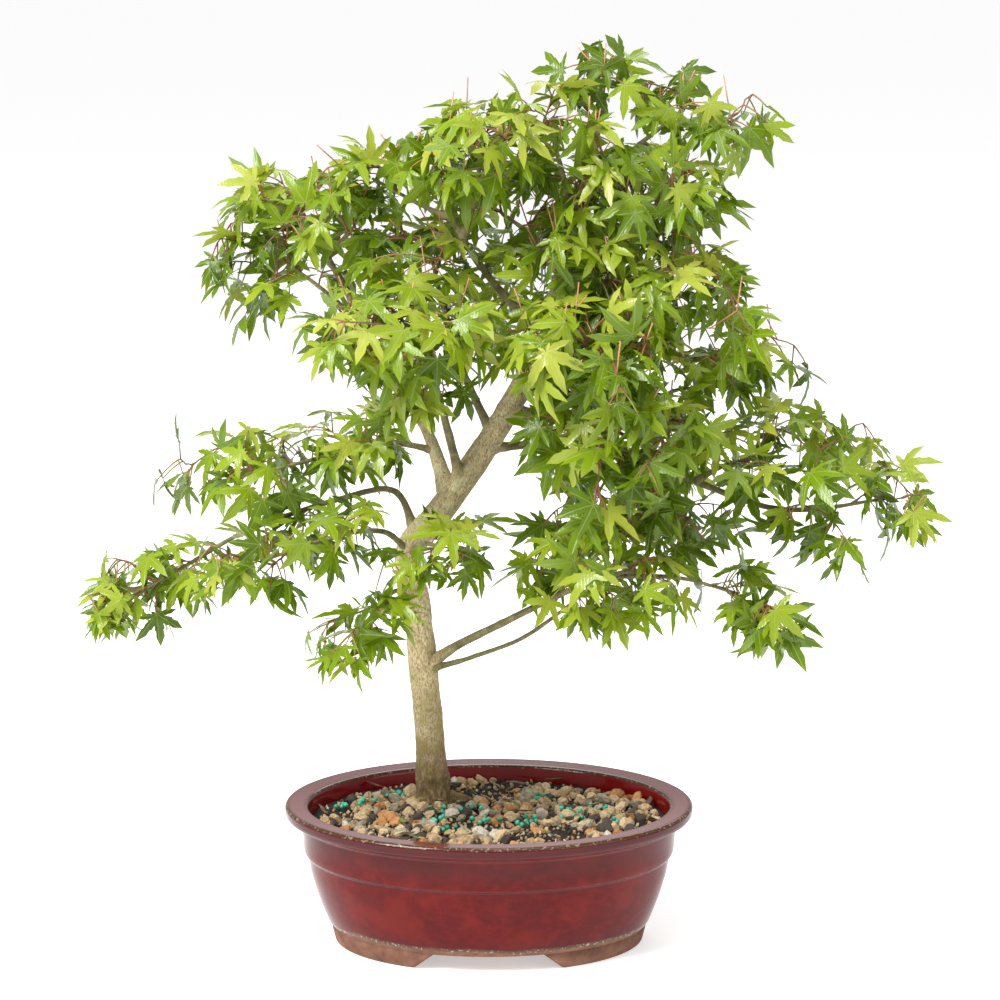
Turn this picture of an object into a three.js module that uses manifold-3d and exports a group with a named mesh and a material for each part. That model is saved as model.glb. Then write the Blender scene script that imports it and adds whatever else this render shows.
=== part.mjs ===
// A Japanese maple bonsai in an oval glazed pot.
// Millimetres, +Z up, the table is z = 0. Everything is first laid out about the middle of the
// pot, and the finished plant is then moved so that the middle of its whole box is at x = y = 0.

import * as THREE from 'three';
import { mergeVertices } from 'three/addons/utils/BufferGeometryUtils.js';
import Module from 'manifold-3d';

const wasm = await Module();
wasm.setup();

// ---------------------------------------------------------------- driving dimensions

const POT_LENGTH = 260; // over the rim, along X
const POT_WIDTH = 204; // over the rim, along Y
const POT_HEIGHT = 90;
const RIM_WIDTH = 14; // flat top of the rim
const LIP_HEIGHT = 7.5; // upright outer face of the rim
const FOOT_HEIGHT = 11;
const FLOOR_THICKNESS = 8;
const ARCH_HALF_TOP = 34; // cut-out between the feet, at the pot's underside
const ARCH_HALF_BOTTOM = 48; // and at the table

const DRAIN_RADIUS = 9;
const DRAIN_X = 48; // the two holes are this far either side of the middle
const SCREEN_SIDE = 32;
const SCREEN_THICKNESS = 1.2;
const SCREEN_PITCH = 7;
const SCREEN_HOLE = 5;
const WIRE_DIAMETER = 1.5;

const SOIL_TOP = 78;
const GRAVEL_TOP = 82;
const TRUNK_FOOT = new THREE.Vector3(-34, 24, 80); // where the trunk meets the soil

const GAP = 0.3; // left between pieces that touch
const WOOD_GAP = 0.4; // left between the wood and what is round it
const AROUND = 40; // segments round the oval

// ---------------------------------------------------------------- solids and cuts

function solid(geometry) {
  const bare = geometry.clone();
  bare.deleteAttribute('normal');
  bare.deleteAttribute('uv');
  const merged = mergeVertices(bare, 1e-4);
  const triangles = merged.index.array;
  const kept = [];
  for (let i = 0; i < triangles.length; i += 3) {
    const [a, b, c] = [triangles[i], triangles[i + 1], triangles[i + 2]];
    if (a !== b && b !== c && c !== a) kept.push(a, b, c);
  }
  const mesh = new wasm.Mesh({
    numProp: 3,
    vertProperties: Float32Array.from(merged.attributes.position.array),
    triVerts: Uint32Array.from(kept),
  });
  return new wasm.Manifold(mesh);
}

function geometryOf(manifold) {
  const mesh = manifold.getMesh();
  const geometry = new THREE.BufferGeometry();
  geometry.setAttribute('position', new THREE.BufferAttribute(mesh.vertProperties, 3));
  geometry.setIndex(new THREE.BufferAttribute(mesh.triVerts, 1));
  geometry.computeVertexNormals();
  return geometry;
}

// The biggest of the separate lumps that a cut leaves.
function biggest(manifold) {
  const lumps = manifold.decompose();
  return lumps.reduce((best, lump) => (lump.volume() > best.volume() ? lump : best));
}

function material(colour, roughness, metalness = 0) {
  return new THREE.MeshStandardMaterial({ color: colour, roughness, metalness });
}

// ---------------------------------------------------------------- oval pieces

// Half width of the oval whose half length is r. The pot's wall keeps one distance between the
// two, and inside the floor the oval shrinks evenly to the middle.
const OVAL_DIFFERENCE = (POT_LENGTH - POT_WIDTH) / 2;
const FLOOR_REACH = 80;
const halfWidth = (r) =>
  r >= FLOOR_REACH ? r - OVAL_DIFFERENCE : (r * (FLOOR_REACH - OVAL_DIFFERENCE)) / FLOOR_REACH;

// A closed profile of [half length, height] points, carried round the oval.
function oval(profile, lift = () => 0) {
  const points = profile.map(([r, z]) => new THREE.Vector2(r, z));
  const geometry = new THREE.LatheGeometry(points, AROUND);
  const position = geometry.attributes.position;
  for (let i = 0; i < position.count; i += 1) {
    const radius = Math.hypot(position.getX(i), position.getZ(i));
    const turn = Math.atan2(-position.getZ(i), position.getX(i));
    const x = radius * Math.cos(turn);
    const y = halfWidth(radius) * Math.sin(turn);
    const z = position.getY(i);
    position.setXYZ(i, x, y, z + lift(x, y, z));
  }
  return geometry;
}

// ---------------------------------------------------------------- the pot

const RIM_OUT = POT_LENGTH / 2;
const RIM_IN = RIM_OUT - RIM_WIDTH;
const UNDERSIDE = FOOT_HEIGHT;
const FLOOR = UNDERSIDE + FLOOR_THICKNESS;
const LIP_BOTTOM = POT_HEIGHT - LIP_HEIGHT;

const wallInside = [
  [RIM_IN - 1.3, POT_HEIGHT - 2.6],
  [113, 78],
  [110, 60],
  [105, 40],
  [98, 26],
  [92, 20.5],
  [84, FLOOR],
];

const potProfile = [
  [0, UNDERSIDE],
  [101, UNDERSIDE],
  [103.5, 15],
  [109.5, 31],
  [113.8, 46],
  [115.2, 56.5], // under the ring that runs round the wall
  [118, 60],
  [119.4, 69],
  [120.6, 80],
  [122.4, LIP_BOTTOM - 0.3],
  [128.8, LIP_BOTTOM],
  [RIM_OUT, LIP_BOTTOM + 1.3],
  [RIM_OUT, POT_HEIGHT - 1],
  [RIM_OUT - 1.4, POT_HEIGHT],
  [RIM_IN, POT_HEIGHT - 1.2], // the rim's top slopes inwards
  ...wallInside,
  [0, FLOOR],
];

const footRing = [
  [85, 0.8],
  [85.8, 0],
  [98.2, 0],
  [99, 0.8],
  [101, UNDERSIDE + 0.5],
  [84, UNDERSIDE + 0.5],
  [85, 0.8],
];

// The long cut-out that leaves a foot at each end, seen from the front.
function archCutter() {
  const outline = new THREE.Shape();
  outline.moveTo(-ARCH_HALF_BOTTOM - 1, -1);
  outline.lineTo(ARCH_HALF_BOTTOM + 1, -1);
  outline.quadraticCurveTo(ARCH_HALF_TOP + 1.5, 3, ARCH_HALF_TOP, UNDERSIDE + 1);
  outline.lineTo(-ARCH_HALF_TOP, UNDERSIDE + 1);
  outline.quadraticCurveTo(-ARCH_HALF_TOP - 1.5, 3, -ARCH_HALF_BOTTOM - 1, -1);
  const depth = POT_WIDTH + 20;
  const cutter = new THREE.ExtrudeGeometry(outline, { depth, bevelEnabled: false, curveSegments: 5 });
  cutter.rotateX(Math.PI / 2);
  cutter.translate(0, depth / 2, 0);
  return cutter;
}

function drainCutter(x) {
  const cutter = new THREE.CylinderGeometry(DRAIN_RADIUS, DRAIN_RADIUS, FLOOR_THICKNESS + 6, 20);
  cutter.rotateX(Math.PI / 2);
  cutter.translate(x, 0, (UNDERSIDE + FLOOR) / 2);
  return cutter;
}

function makePot() {
  const feet = solid(oval(footRing)).subtract(solid(archCutter()));
  const holes = [-DRAIN_X, DRAIN_X].map((x) => solid(drainCutter(x)));
  return wasm.Manifold.difference([solid(oval(potProfile)).add(feet), ...holes]);
}

// ---------------------------------------------------------------- drain screens and their wires

const SCREEN_LOW = FLOOR + GAP;
const SCREEN_HIGH = SCREEN_LOW + SCREEN_THICKNESS;

// A square of plastic netting with four rows of four holes.
function makeScreen(x) {
  const level = SCREEN_LOW + SCREEN_THICKNESS / 2;
  const block = (side, thickness, u, v) => {
    const box = new THREE.BoxGeometry(side, side, thickness);
    box.translate(x + u, v, level);
    return solid(box);
  };
  const places = [-1.5, -0.5, 0.5, 1.5].map((step) => step * SCREEN_PITCH);
  const holes = places.flatMap((u) => places.map((v) => block(SCREEN_HOLE, SCREEN_THICKNESS + 2, u, v)));
  return wasm.Manifold.difference([block(SCREEN_SIDE, SCREEN_THICKNESS, 0, 0), ...holes]);
}

// A staple of soft wire: over the screen, down through the hole, and out under the floor.
function makeWire(x) {
  const leg = SCREEN_PITCH / 2;
  const toe = DRAIN_RADIUS + 6;
  const over = SCREEN_HIGH + GAP + WIRE_DIAMETER / 2;
  const under = UNDERSIDE - GAP - WIRE_DIAMETER / 2;
  const half = [[leg - 1.2, over], [leg, over - 1.2], [leg, under + 1.6], [leg + 1.6, under], [toe, under]];
  const route = [...half.map(([u, z]) => [-u, z]).reverse(), ...half];
  const points = route.map(([u, z]) => new THREE.Vector3(x + u, leg, z));
  const curve = new THREE.CatmullRomCurve3(points, false, 'chordal');
  const round = new THREE.Shape();
  round.absarc(0, 0, WIRE_DIAMETER / 2, 0, 2 * Math.PI);
  return new THREE.ExtrudeGeometry(round, { steps: 20, extrudePath: curve, curveSegments: 3 });
}

// ---------------------------------------------------------------- the wood

const smoothCurve = (points) =>
  new THREE.CatmullRomCurve3(points.map(([x, y, z]) => new THREE.Vector3(x, y, z)));

// A limb is a list of [x, y, z, radius]: a cylinder bent along the smooth curve through the
// points, with its radius following the list. grow makes it that much fatter and longer.
function limb(points, { sides = 6, steps = 3 * (points.length - 1), side = [0, 1, 0], grow = 0 } = {}) {
  const curve = smoothCurve(points);
  const last = points.length - 1;
  const radiusAt = (u) => {
    const i = Math.min(Math.floor(u * last), last - 1);
    return THREE.MathUtils.lerp(points[i][3], points[i + 1][3], u * last - i);
  };
  const geometry = new THREE.CylinderGeometry(1, 1, 1, sides, steps);
  const position = geometry.attributes.position;
  for (let i = 0; i < position.count; i += 1) {
    const u = THREE.MathUtils.clamp(position.getY(i) + 0.5, 0, 1);
    const along = curve.getTangent(u);
    const across = new THREE.Vector3(...side).cross(along).normalize();
    const other = along.clone().cross(across);
    const place = curve.getPoint(u);
    const fat = radiusAt(u) + grow;
    if (u === 0) place.addScaledVector(along, -grow);
    if (u === 1) place.addScaledVector(along, grow);
    place.addScaledVector(across, position.getX(i) * fat);
    place.addScaledVector(other, -position.getZ(i) * fat);
    position.setXYZ(i, place.x, place.y, place.z);
  }
  return geometry;
}

// The trunk has three stretches: it rises with a slight lean to the left, bends hard and leans to
// the right, and then turns up to the tip. These are the places where they meet, [x, y, z].
const TRUNK_START = [-35, 25, 60]; // in the soil
const BEND = [-50, 15, 250];
const TURN_UP = [28, 15, 370];
const TIP = [72, 10, 553];
const LEAN_BOW = [4, -6]; // how far the leaning stretch bows, along X and Y
const TOP_BOW = [6, 0];
const TRUNK_RADIUS = 9;
const TIP_RADIUS = 1;
const FLARE = 5; // how much thicker the trunk is where it meets the soil
const FLARE_HEIGHT = 16; // the flare dies away over this height

// Points of a stretch, its end left out. x and y go as share ** ease, plus a bow in the middle.
function stretch(from, to, count, bow, ease = 1) {
  return Array.from({ length: count }, (_, i) => {
    const share = i / count;
    const swing = Math.sin(Math.PI * share);
    return [
      THREE.MathUtils.lerp(from[0], to[0], share ** ease) + bow[0] * swing,
      THREE.MathUtils.lerp(from[1], to[1], share ** ease) + bow[1] * swing,
      THREE.MathUtils.lerp(from[2], to[2], share),
    ];
  });
}

// It keeps its thickness at first, as 1 - share ** 3, and flares at the soil.
const trunkLine = [
  ...stretch(TRUNK_START, BEND, 5, [0, 0], 1.5),
  ...stretch(BEND, TURN_UP, 4, LEAN_BOW),
  ...stretch(TURN_UP, TIP, 4, TOP_BOW),
  TIP,
];
const trunk = trunkLine.map(([x, y, z], i) => {
  const share = i / (trunkLine.length - 1);
  const flare = FLARE * Math.exp(-Math.max(z - TRUNK_FOOT.z, 0) / FLARE_HEIGHT);
  return [x, y, z, TIP_RADIUS + (TRUNK_RADIUS - TIP_RADIUS) * (1 - share ** 3) + flare];
});

const limbs = {
  // low on the right: a limb, its tip, and a thinner one under it
  low_right: [[-40, 23, 173, 3.8], [-20, 0, 192, 2.7], [10, -28, 214, 2.2], [56, -42, 240, 1.7],
    [85, -44, 250, 1.2]],
  low_right_tip: [[70, -43, 246, 1.4], [115, -40, 245, 1.2], [155, -28, 232, 0.9]],
  low_right_under: [[-38, 19, 172, 2.2], [-12, -4, 185, 1.5], [24, -22, 204, 1.2], [64, -28, 236, 1]],
  // low in front of the trunk
  low_front: [[-51, 16, 246, 2], [-42, -12, 260, 1.5], [-28, -44, 265, 1]],
  low_hanging: [[-49, 18, 216, 1.8], [-58, -16, 231, 1.4], [-72, -55, 224, 1]],
  // the long low limb to the left and the one in front of it
  left_low: [[-46, 14, 262, 2.6], [-60, 18, 288, 1.9], [-94, 6, 285, 1.7], [-150, -8, 268, 1.4],
    [-190, -14, 246, 1.2], [-226, -20, 225, 0.9]],
  left_front: [[-51, 15, 250, 2.2], [-66, -12, 268, 1.6], [-94, -36, 270, 1.3], [-140, -44, 256, 0.9]],
  // the big limb that rises behind, to the upper left, and its two arms
  left_upper: [[-26, 10, 290, 4.4], [-40, 32, 326, 3.5], [-60, 45, 352, 3], [-85, 52, 402, 2.4],
    [-125, 55, 470, 1.1]],
  left_shelf: [[-33, 24, 313, 2], [-70, 26, 318, 1.6], [-110, 14, 309, 1.2], [-140, 4, 303, 0.9]],
  left_middle: [[-77, 50, 384, 2], [-98, 58, 404, 1.5], [-120, 58, 422, 0.9]],
  // the limbs that rise in front, in the middle and to the upper left
  front_left: [[-18, 8, 298, 3], [-27, -18, 340, 2.2], [-36, -36, 374, 1.8], [-56, -50, 400, 1]],
  centre_left: [[4, 9, 322, 3], [-14, 17, 360, 2.1], [-28, 22, 404, 1.7], [-36, 16, 438, 1]],
  upper_centre: [[35, 16, 388, 3], [4, 4, 421, 2.4], [-20, -2, 458, 1.9], [-34, -4, 502, 1]],
  upper_centre_arm: [[-16, -2, 450, 1.8], [-8, -4, 475, 1.4], [-5, -6, 502, 1]],
  upper_mid_left: [[-22, -2, 462, 1.6], [-46, 8, 472, 1.2], [-72, 20, 485, 0.9]],
  // to the right: the long low limb with its arm, then one for each shelf above it
  right_low: [[13, 12, 340, 3.8], [46, 20, 332, 3], [102, 24, 306, 2.4], [163, 20, 281, 1.9],
    [200, 17, 276, 1.5], [245, 14, 283, 0.9]],
  right_outer: [[130, 22, 293, 1.8], [150, 22, 304, 1.4], [176, 20, 310, 1]],
  right_inner: [[20, 14, 354, 2.6], [48, -8, 349, 1.8], [80, -32, 334, 1]],
  front_right: [[27, 15, 367, 2.6], [44, -18, 380, 1.8], [62, -50, 388, 1]],
  right_shoulder: [[34, 16, 384, 2.8], [84, 8, 382, 1.9], [134, 4, 374, 0.9]],
  middle_right: [[41, 14, 410, 2.5], [68, 0, 420, 1.7], [97, -8, 428, 1]],
  upper_right: [[45, 12, 432, 2.5], [68, 6, 450, 1.8], [95, 0, 478, 0.9]],
  apex_right: [[57, 10, 470, 2.2], [85, 10, 500, 1.6], [120, 10, 528, 0.9]],
  apex_left: [[53, 10, 460, 2], [44, -8, 496, 1.4], [35, -20, 525, 0.9]],
  centre: [[44, 12, 426, 2], [40, -4, 434, 1.5], [34, -22, 438, 1]],
  // to the back, at three heights
  back_low: [[0, 9, 317, 3], [38, 44, 313, 2], [84, 72, 300, 1]],
  back_middle: [[29, 16, 372, 2.7], [34, 50, 380, 1.9], [40, 84, 387, 1]],
  back_upper: [[44, 12, 428, 2.5], [30, 42, 444, 1.8], [6, 78, 459, 1]],
};

// Roots spread from the foot of the trunk and go down into the soil: [turn in degrees, reach].
const roots = [[20, 62], [95, 44], [160, 56], [215, 60], [285, 52]];

function rootPoints([degrees, reach]) {
  const turn = THREE.MathUtils.degToRad(degrees);
  const at = (share, z, r) => [
    TRUNK_FOOT.x + Math.cos(turn) * reach * share,
    TRUNK_FOOT.y + Math.sin(turn) * reach * share,
    z,
    r,
  ];
  return [at(0.02, 80, 6), at(0.22, 79, 5), at(0.48, 72, 3.6), at(0.75, 60, 2.4), at(1, 46, 1.4)];
}

function wood(grow) {
  const pieces = [
    solid(limb(trunk, { sides: 10, steps: 2 * (trunk.length - 1), grow })),
    ...Object.values(limbs).map((points) => solid(limb(points, { grow }))),
    ...roots.map((root) => solid(limb(rootPoints(root), { side: [0, 0, 1], grow }))),
  ];
  return wasm.Manifold.union(pieces);
}

const woodWithGap = wood(WOOD_GAP);

// ---------------------------------------------------------------- soil and gravel

const clearOfWall = (r) => r - GAP - 0.2;

function makeSoil() {
  const side = wallInside.slice(1).map(([r, z]) => [clearOfWall(r), z + GAP * (z === FLOOR ? 1 : 0)]);
  const profile = [[0, FLOOR + GAP], ...side.reverse(), [0, SOIL_TOP]];
  const recesses = [-DRAIN_X, DRAIN_X].map((x) => {
    const height = SCREEN_HIGH + 2 * GAP + WIRE_DIAMETER + GAP - FLOOR + 1;
    const room = new THREE.BoxGeometry(SCREEN_SIDE + 2 * GAP, SCREEN_SIDE + 2 * GAP, height);
    room.translate(x, 0, FLOOR - 1 + height / 2);
    return solid(room);
  });
  return biggest(wasm.Manifold.difference([solid(oval(profile)), ...recesses, woodWithGap]));
}

// The gravel lies level at the wall and is heaped a little round the trunk.
function gravelLift(x, y, z) {
  if (z < SOIL_TOP + 2 * GAP) return 0;
  const away = Math.hypot(x - TRUNK_FOOT.x, y - TRUNK_FOOT.y);
  const heap = 5 * Math.exp(-((away / 34) ** 2));
  const lumps = 0.7 * Math.sin(x * 0.31 + 1) * Math.cos(y * 0.37);
  return heap + lumps;
}

function makeGravel() {
  const low = SOIL_TOP + GAP;
  const rings = [112.4, 98, 80, 60, 40, 20];
  const profile = [[0, low], [112.3, low], ...rings.map((r) => [r, GRAVEL_TOP]), [0, GRAVEL_TOP]];
  return biggest(solid(oval(profile, gravelLift)).subtract(woodWithGap));
}

// ---------------------------------------------------------------- foliage

// Leaves hang together in groups, each round a limb. A group is [limb, share of the way along it,
// size], and its lump is a pad whose middle lies on the limb there. The order matters, because
// each pad gives way to the ones before it.
const SIZES = { // half length, half depth, half height
  sprig: [26, 30, 20],
  tuft: [34, 42, 24],
  shelf: [46, 54, 26],
  wide: [66, 68, 32],
  back: [64, 45, 34],
};
const groups = {
  apex: ['trunk', 1, 'tuft'],
  apex_left: ['apex_left', 1, 'tuft'],
  apex_right: ['apex_right', 1, 'tuft'],
  upper_centre: ['upper_centre_arm', 1, 'wide'],
  upper_left: ['left_upper', 0.95, 'wide'],
  upper_mid_left: ['upper_mid_left', 1, 'tuft'],
  middle_left: ['left_middle', 1, 'shelf'],
  centre_left: ['centre_left', 1, 'shelf'],
  centre: ['centre', 1, 'tuft'],
  upper_right: ['upper_right', 1, 'wide'],
  middle_right: ['middle_right', 1, 'wide'],
  front_left: ['front_left', 1, 'wide'],
  front_centre: ['front_left', 0.6, 'tuft'],
  front_right: ['front_right', 1, 'wide'],
  right_shoulder: ['right_shoulder', 1, 'shelf'],
  right_inner: ['right_inner', 1, 'wide'],
  right_outer: ['right_outer', 1, 'wide'],
  right_tip: ['right_low', 1, 'tuft'],
  low_right: ['low_right', 0.9, 'wide'],
  low_outer: ['low_right_tip', 1, 'sprig'],
  low_centre: ['low_front', 1, 'tuft'],
  left_inner: ['left_shelf', 0.45, 'shelf'],
  left_outer: ['left_shelf', 1, 'shelf'],
  left_front: ['left_front', 0.6, 'tuft'],
  left_low: ['left_front', 1, 'tuft'],
  left_reach: ['left_low', 0.8, 'tuft'],
  left_tip: ['left_low', 1, 'sprig'],
  left_hanging: ['low_hanging', 1, 'sprig'],
  back_low: ['back_low', 1, 'back'],
  back_middle: ['back_middle', 1, 'back'],
  back_upper: ['back_upper', 1, 'back'],
};

const BIG_PAD = 60; // pads longer than twice this get a finer mesh
const FLAT_UNDER = 0.72; // undersides are flatter than tops

// A ball with soft lumps, drawn out to the pad's half sizes.
function padGeometry([stem, share, size], number, grow) {
  const route = stem === 'trunk' ? trunk : limbs[stem];
  const middle = smoothCurve(route).getPoint(share).toArray();
  const half = SIZES[size];
  const geometry = new THREE.IcosahedronGeometry(1, half[0] > BIG_PAD ? 2 : 1);
  const position = geometry.attributes.position;
  const way = new THREE.Vector3();
  for (let i = 0; i < position.count; i += 1) {
    way.fromBufferAttribute(position, i);
    const lump = 0.07 * Math.sin(5 * way.x + 2 * number) + 0.06 * Math.sin(6 * way.y + 4 * way.z + number);
    const flat = way.z < 0 ? FLAT_UNDER : 1;
    position.setXYZ(
      i,
      middle[0] + way.x * (half[0] * (1 + lump) + grow),
      middle[1] + way.y * (half[1] * (1 + lump) + grow),
      middle[2] + way.z * (half[2] * flat * (1 + lump) + grow),
    );
  }
  return geometry;
}

// Each pad gives way to the wood and to the pads before it, and keeps its biggest lump.
function makePads() {
  const made = {};
  const before = [];
  Object.entries(groups).forEach(([name, group], number) => {
    const whole = solid(padGeometry(group, number, 0));
    made[`foliage_${name}`] = biggest(wasm.Manifold.difference([whole, woodWithGap, ...before]));
    before.push(solid(padGeometry(group, number, 2 * GAP)));
  });
  return made;
}

// ---------------------------------------------------------------- the plant

const GLAZE = material(0x8a2f33, 0.25);
const NETTING = material(0x1c1d1c, 0.6);
const WIRE = material(0xb9bcc0, 0.35, 1);
const SOIL = material(0x241c16, 0.95);
const GRAVEL = material(0xa98f6f, 0.85);
const BARK = material(0x94826a, 0.85);
const LEAVES = material(0x5f9a2a, 0.55);

const plant = new THREE.Group();

function put(name, geometry, finish) {
  const mesh = new THREE.Mesh(geometry, finish.clone());
  mesh.name = name;
  plant.add(mesh);
}

put('pot', geometryOf(makePot()), GLAZE);
put('drain_screen_left', geometryOf(makeScreen(-DRAIN_X)), NETTING);
put('drain_screen_right', geometryOf(makeScreen(DRAIN_X)), NETTING);
put('screen_wire_left', makeWire(-DRAIN_X), WIRE);
put('screen_wire_right', makeWire(DRAIN_X), WIRE);
put('soil', geometryOf(makeSoil()), SOIL);
put('gravel', geometryOf(makeGravel()), GRAVEL);
put('trunk_and_branches', geometryOf(wood(0)), BARK);
for (const [name, pad] of Object.entries(makePads())) put(name, geometryOf(pad), LEAVES);

const middle = new THREE.Box3().setFromObject(plant).getCenter(new THREE.Vector3());
plant.position.set(-middle.x, -middle.y, 0);

export default plant;
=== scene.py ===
# %% [markdown]
# # A maple bonsai in an oval glazed pot
# A young maple leans out over a footed oval pot. The pot, the gravel, the wood, the twigs and the
# leaves are each made in their own step below, as surfaces worked out with numpy, and they all
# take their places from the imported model, which is loaded first as a fixed frame.

# %% Load the fixed frame
import math

import bpy
import numpy as np
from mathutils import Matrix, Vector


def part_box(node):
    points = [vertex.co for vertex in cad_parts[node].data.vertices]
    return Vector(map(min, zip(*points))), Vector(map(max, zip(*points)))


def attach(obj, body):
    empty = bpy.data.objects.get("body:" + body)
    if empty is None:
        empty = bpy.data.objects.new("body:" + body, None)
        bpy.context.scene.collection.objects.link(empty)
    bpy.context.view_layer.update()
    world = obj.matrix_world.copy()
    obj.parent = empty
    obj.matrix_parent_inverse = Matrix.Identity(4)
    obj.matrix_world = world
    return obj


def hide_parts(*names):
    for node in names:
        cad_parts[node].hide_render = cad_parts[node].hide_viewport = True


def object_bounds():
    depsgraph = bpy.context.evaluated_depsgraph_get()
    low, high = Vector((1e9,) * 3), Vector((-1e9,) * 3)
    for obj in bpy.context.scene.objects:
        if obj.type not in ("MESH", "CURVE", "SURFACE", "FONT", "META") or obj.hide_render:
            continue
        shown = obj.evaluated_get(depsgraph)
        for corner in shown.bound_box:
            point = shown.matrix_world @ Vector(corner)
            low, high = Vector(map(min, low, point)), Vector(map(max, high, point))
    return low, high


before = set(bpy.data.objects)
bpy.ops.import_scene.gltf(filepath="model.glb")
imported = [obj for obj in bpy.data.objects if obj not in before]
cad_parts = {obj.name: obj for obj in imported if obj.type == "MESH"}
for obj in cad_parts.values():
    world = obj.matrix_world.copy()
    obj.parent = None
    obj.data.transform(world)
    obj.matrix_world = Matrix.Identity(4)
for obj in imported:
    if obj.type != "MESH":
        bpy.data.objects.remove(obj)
cad_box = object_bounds()
print("nodes in the frame:", len(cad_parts))

# %% [markdown]
# ## Units and places
# The shapes are worked out in millimetres about the middle of the pot, with the table at zero,
# because that is how a potter and a grower would measure them. One helper turns such points into
# metres in the frame, and the pot's own box says where its middle is.

# %% Millimetres about the pot's middle
MM = 0.001


def corners_of(name):
    """The lowest and the highest corner of a node, as arrays in metres."""
    low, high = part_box(name)
    return np.array(low), np.array(high)


pot_low, pot_high = corners_of("pot")
POT_MIDDLE = np.append((pot_low[:2] + pot_high[:2]) / 2, 0.0)
POT_LENGTH, POT_WIDTH, POT_HEIGHT = (pot_high - pot_low) / MM


def place(points):
    """Metres in the frame = the pot's middle + a thousandth of the millimetres."""
    return POT_MIDDLE + MM * np.asarray(points, float)


def pot_frame(points):
    """The other way round: metres in the frame to millimetres about the pot's middle."""
    return (np.asarray(points, float) - POT_MIDDLE) / MM


print("pot, mm:", POT_LENGTH.round(1), POT_WIDTH.round(1), POT_HEIGHT.round(1))

# %% [markdown]
# ## Shapes from arrays
# Nearly everything here is a tube of some kind: a limb, a twig, a stalk, and a pebble too, which
# is a short tube with closed ends. So one helper gives the faces of any number of tubes at once,
# another carries a ring of points along a path, and a third puts the arrays into a mesh.

# %% Put arrays into a mesh
def make_piece(name, points, face_sets, material, smooth=True, uv=None, marks=None):
    """A mesh object from points in millimetres and a list of face arrays, one array for each
    number of corners. marks are named values, one for each point."""
    mesh = bpy.data.meshes.new(name)
    mesh.vertices.add(len(points))
    mesh.vertices.foreach_set("co", place(points).astype(np.float32).ravel())
    corners = np.concatenate([faces.ravel() for faces in face_sets])
    sizes = np.concatenate([np.full(len(faces), faces.shape[1]) for faces in face_sets])
    mesh.loops.add(len(corners))
    mesh.loops.foreach_set("vertex_index", corners.astype(np.int32))
    mesh.polygons.add(len(sizes))
    mesh.polygons.foreach_set("loop_start", (np.cumsum(sizes) - sizes).astype(np.int32))
    if uv is not None:
        layer = mesh.uv_layers.new(name="OFBake")
        layer.uv.foreach_set("vector", uv[corners].astype(np.float32).ravel())
    for mark, values in (marks or {}).items():
        mesh.attributes.new(mark, "FLOAT", "POINT").data.foreach_set("value", values.astype(np.float32))
    mesh.polygons.foreach_set("use_smooth", np.full(len(sizes), smooth))
    mesh.update(calc_edges=True)
    mesh.validate()
    mesh.materials.append(material)
    piece = bpy.data.objects.new(name, mesh)
    bpy.context.collection.objects.link(piece)
    return piece


def settle(piece, slot, *nodes):
    """The piece rides on the part's one body and may stand for CAD nodes. The slot is not used."""
    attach(piece, "root")
    if nodes:
        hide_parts(*nodes)
    print(piece.name, "faces:", len(piece.data.polygons))


# %% Tubes along paths
def unit(vectors):
    """Vectors drawn out or shortened to length 1."""
    return vectors / np.maximum(np.linalg.norm(vectors, axis=-1, keepdims=True), 1e-9)


def tube_faces(rings, sides, count=1):
    """Faces of closed tubes. Each has rings x sides points, then its start and its end point."""
    ring = np.arange(sides)
    after = (ring + 1) % sides
    row = sides * np.arange(rings - 1)[:, None]
    quads = np.stack([row + ring, row + after, row + sides + after, row + sides + ring], -1)
    last = (rings - 1) * sides
    start = np.full(sides, rings * sides)
    fans = np.concatenate([
        np.stack([after, ring, start], -1),
        np.stack([last + ring, last + after, start + 1], -1),
    ])
    step = (rings * sides + 2) * np.arange(count)[:, None, None]
    return [(quads.reshape(-1, 4) + step).reshape(-1, 4), (fans + step).reshape(-1, 3)]


def tube_points(path, radius, sides, dome=0.5):
    """A ring at each step of a path: step + radius x (cos a x side + sin a x other), where side
    and other stand square to the path. The ends are closed by a point pushed out as a dome."""
    along = unit(np.gradient(path, axis=-2))
    chord = np.abs(path[..., -1, :] - path[..., 0, :])
    start = np.eye(3)[np.argmin(chord, axis=-1)][..., None, :]
    side = unit(np.cross(start, along))
    other = np.cross(along, side)
    turn = np.linspace(0, 2 * np.pi, sides, endpoint=False)[:, None]
    spoke = np.cos(turn) * side[..., None, :] + np.sin(turn) * other[..., None, :]
    spread = radius[..., None, None] if radius.ndim == path.ndim - 1 else radius[..., None]
    rings = path[..., None, :] + spread * spoke
    rings = rings.reshape(*path.shape[:-2], -1, 3)
    thick = radius if radius.ndim == path.ndim - 1 else radius.mean(axis=-1)
    first = path[..., 0, :] - dome * thick[..., 0, None] * along[..., 0, :]
    end = path[..., -1, :] + dome * thick[..., -1, None] * along[..., -1, :]
    return np.concatenate([rings, first[..., None, :], end[..., None, :]], axis=-2)


def smooth_path(points, count):
    """A curve through the points: each stretch is a cubic that leaves and meets its points along
    the line between their neighbours."""
    points = np.asarray(points, float)
    line = np.vstack([2 * points[0] - points[1], points, 2 * points[-1] - points[-2]])
    along = np.linspace(0, len(points) - 1, count)
    stretch = np.minimum(along.astype(int), len(points) - 2)
    t = (along - stretch)[:, None]
    a, b, c, d = (line[stretch + i] for i in range(4))
    return (2 * b + (c - a) * t + (2 * a - 5 * b + 4 * c - d) * t**2 + (3 * b - a - 3 * c + d) * t**3) / 2


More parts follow.
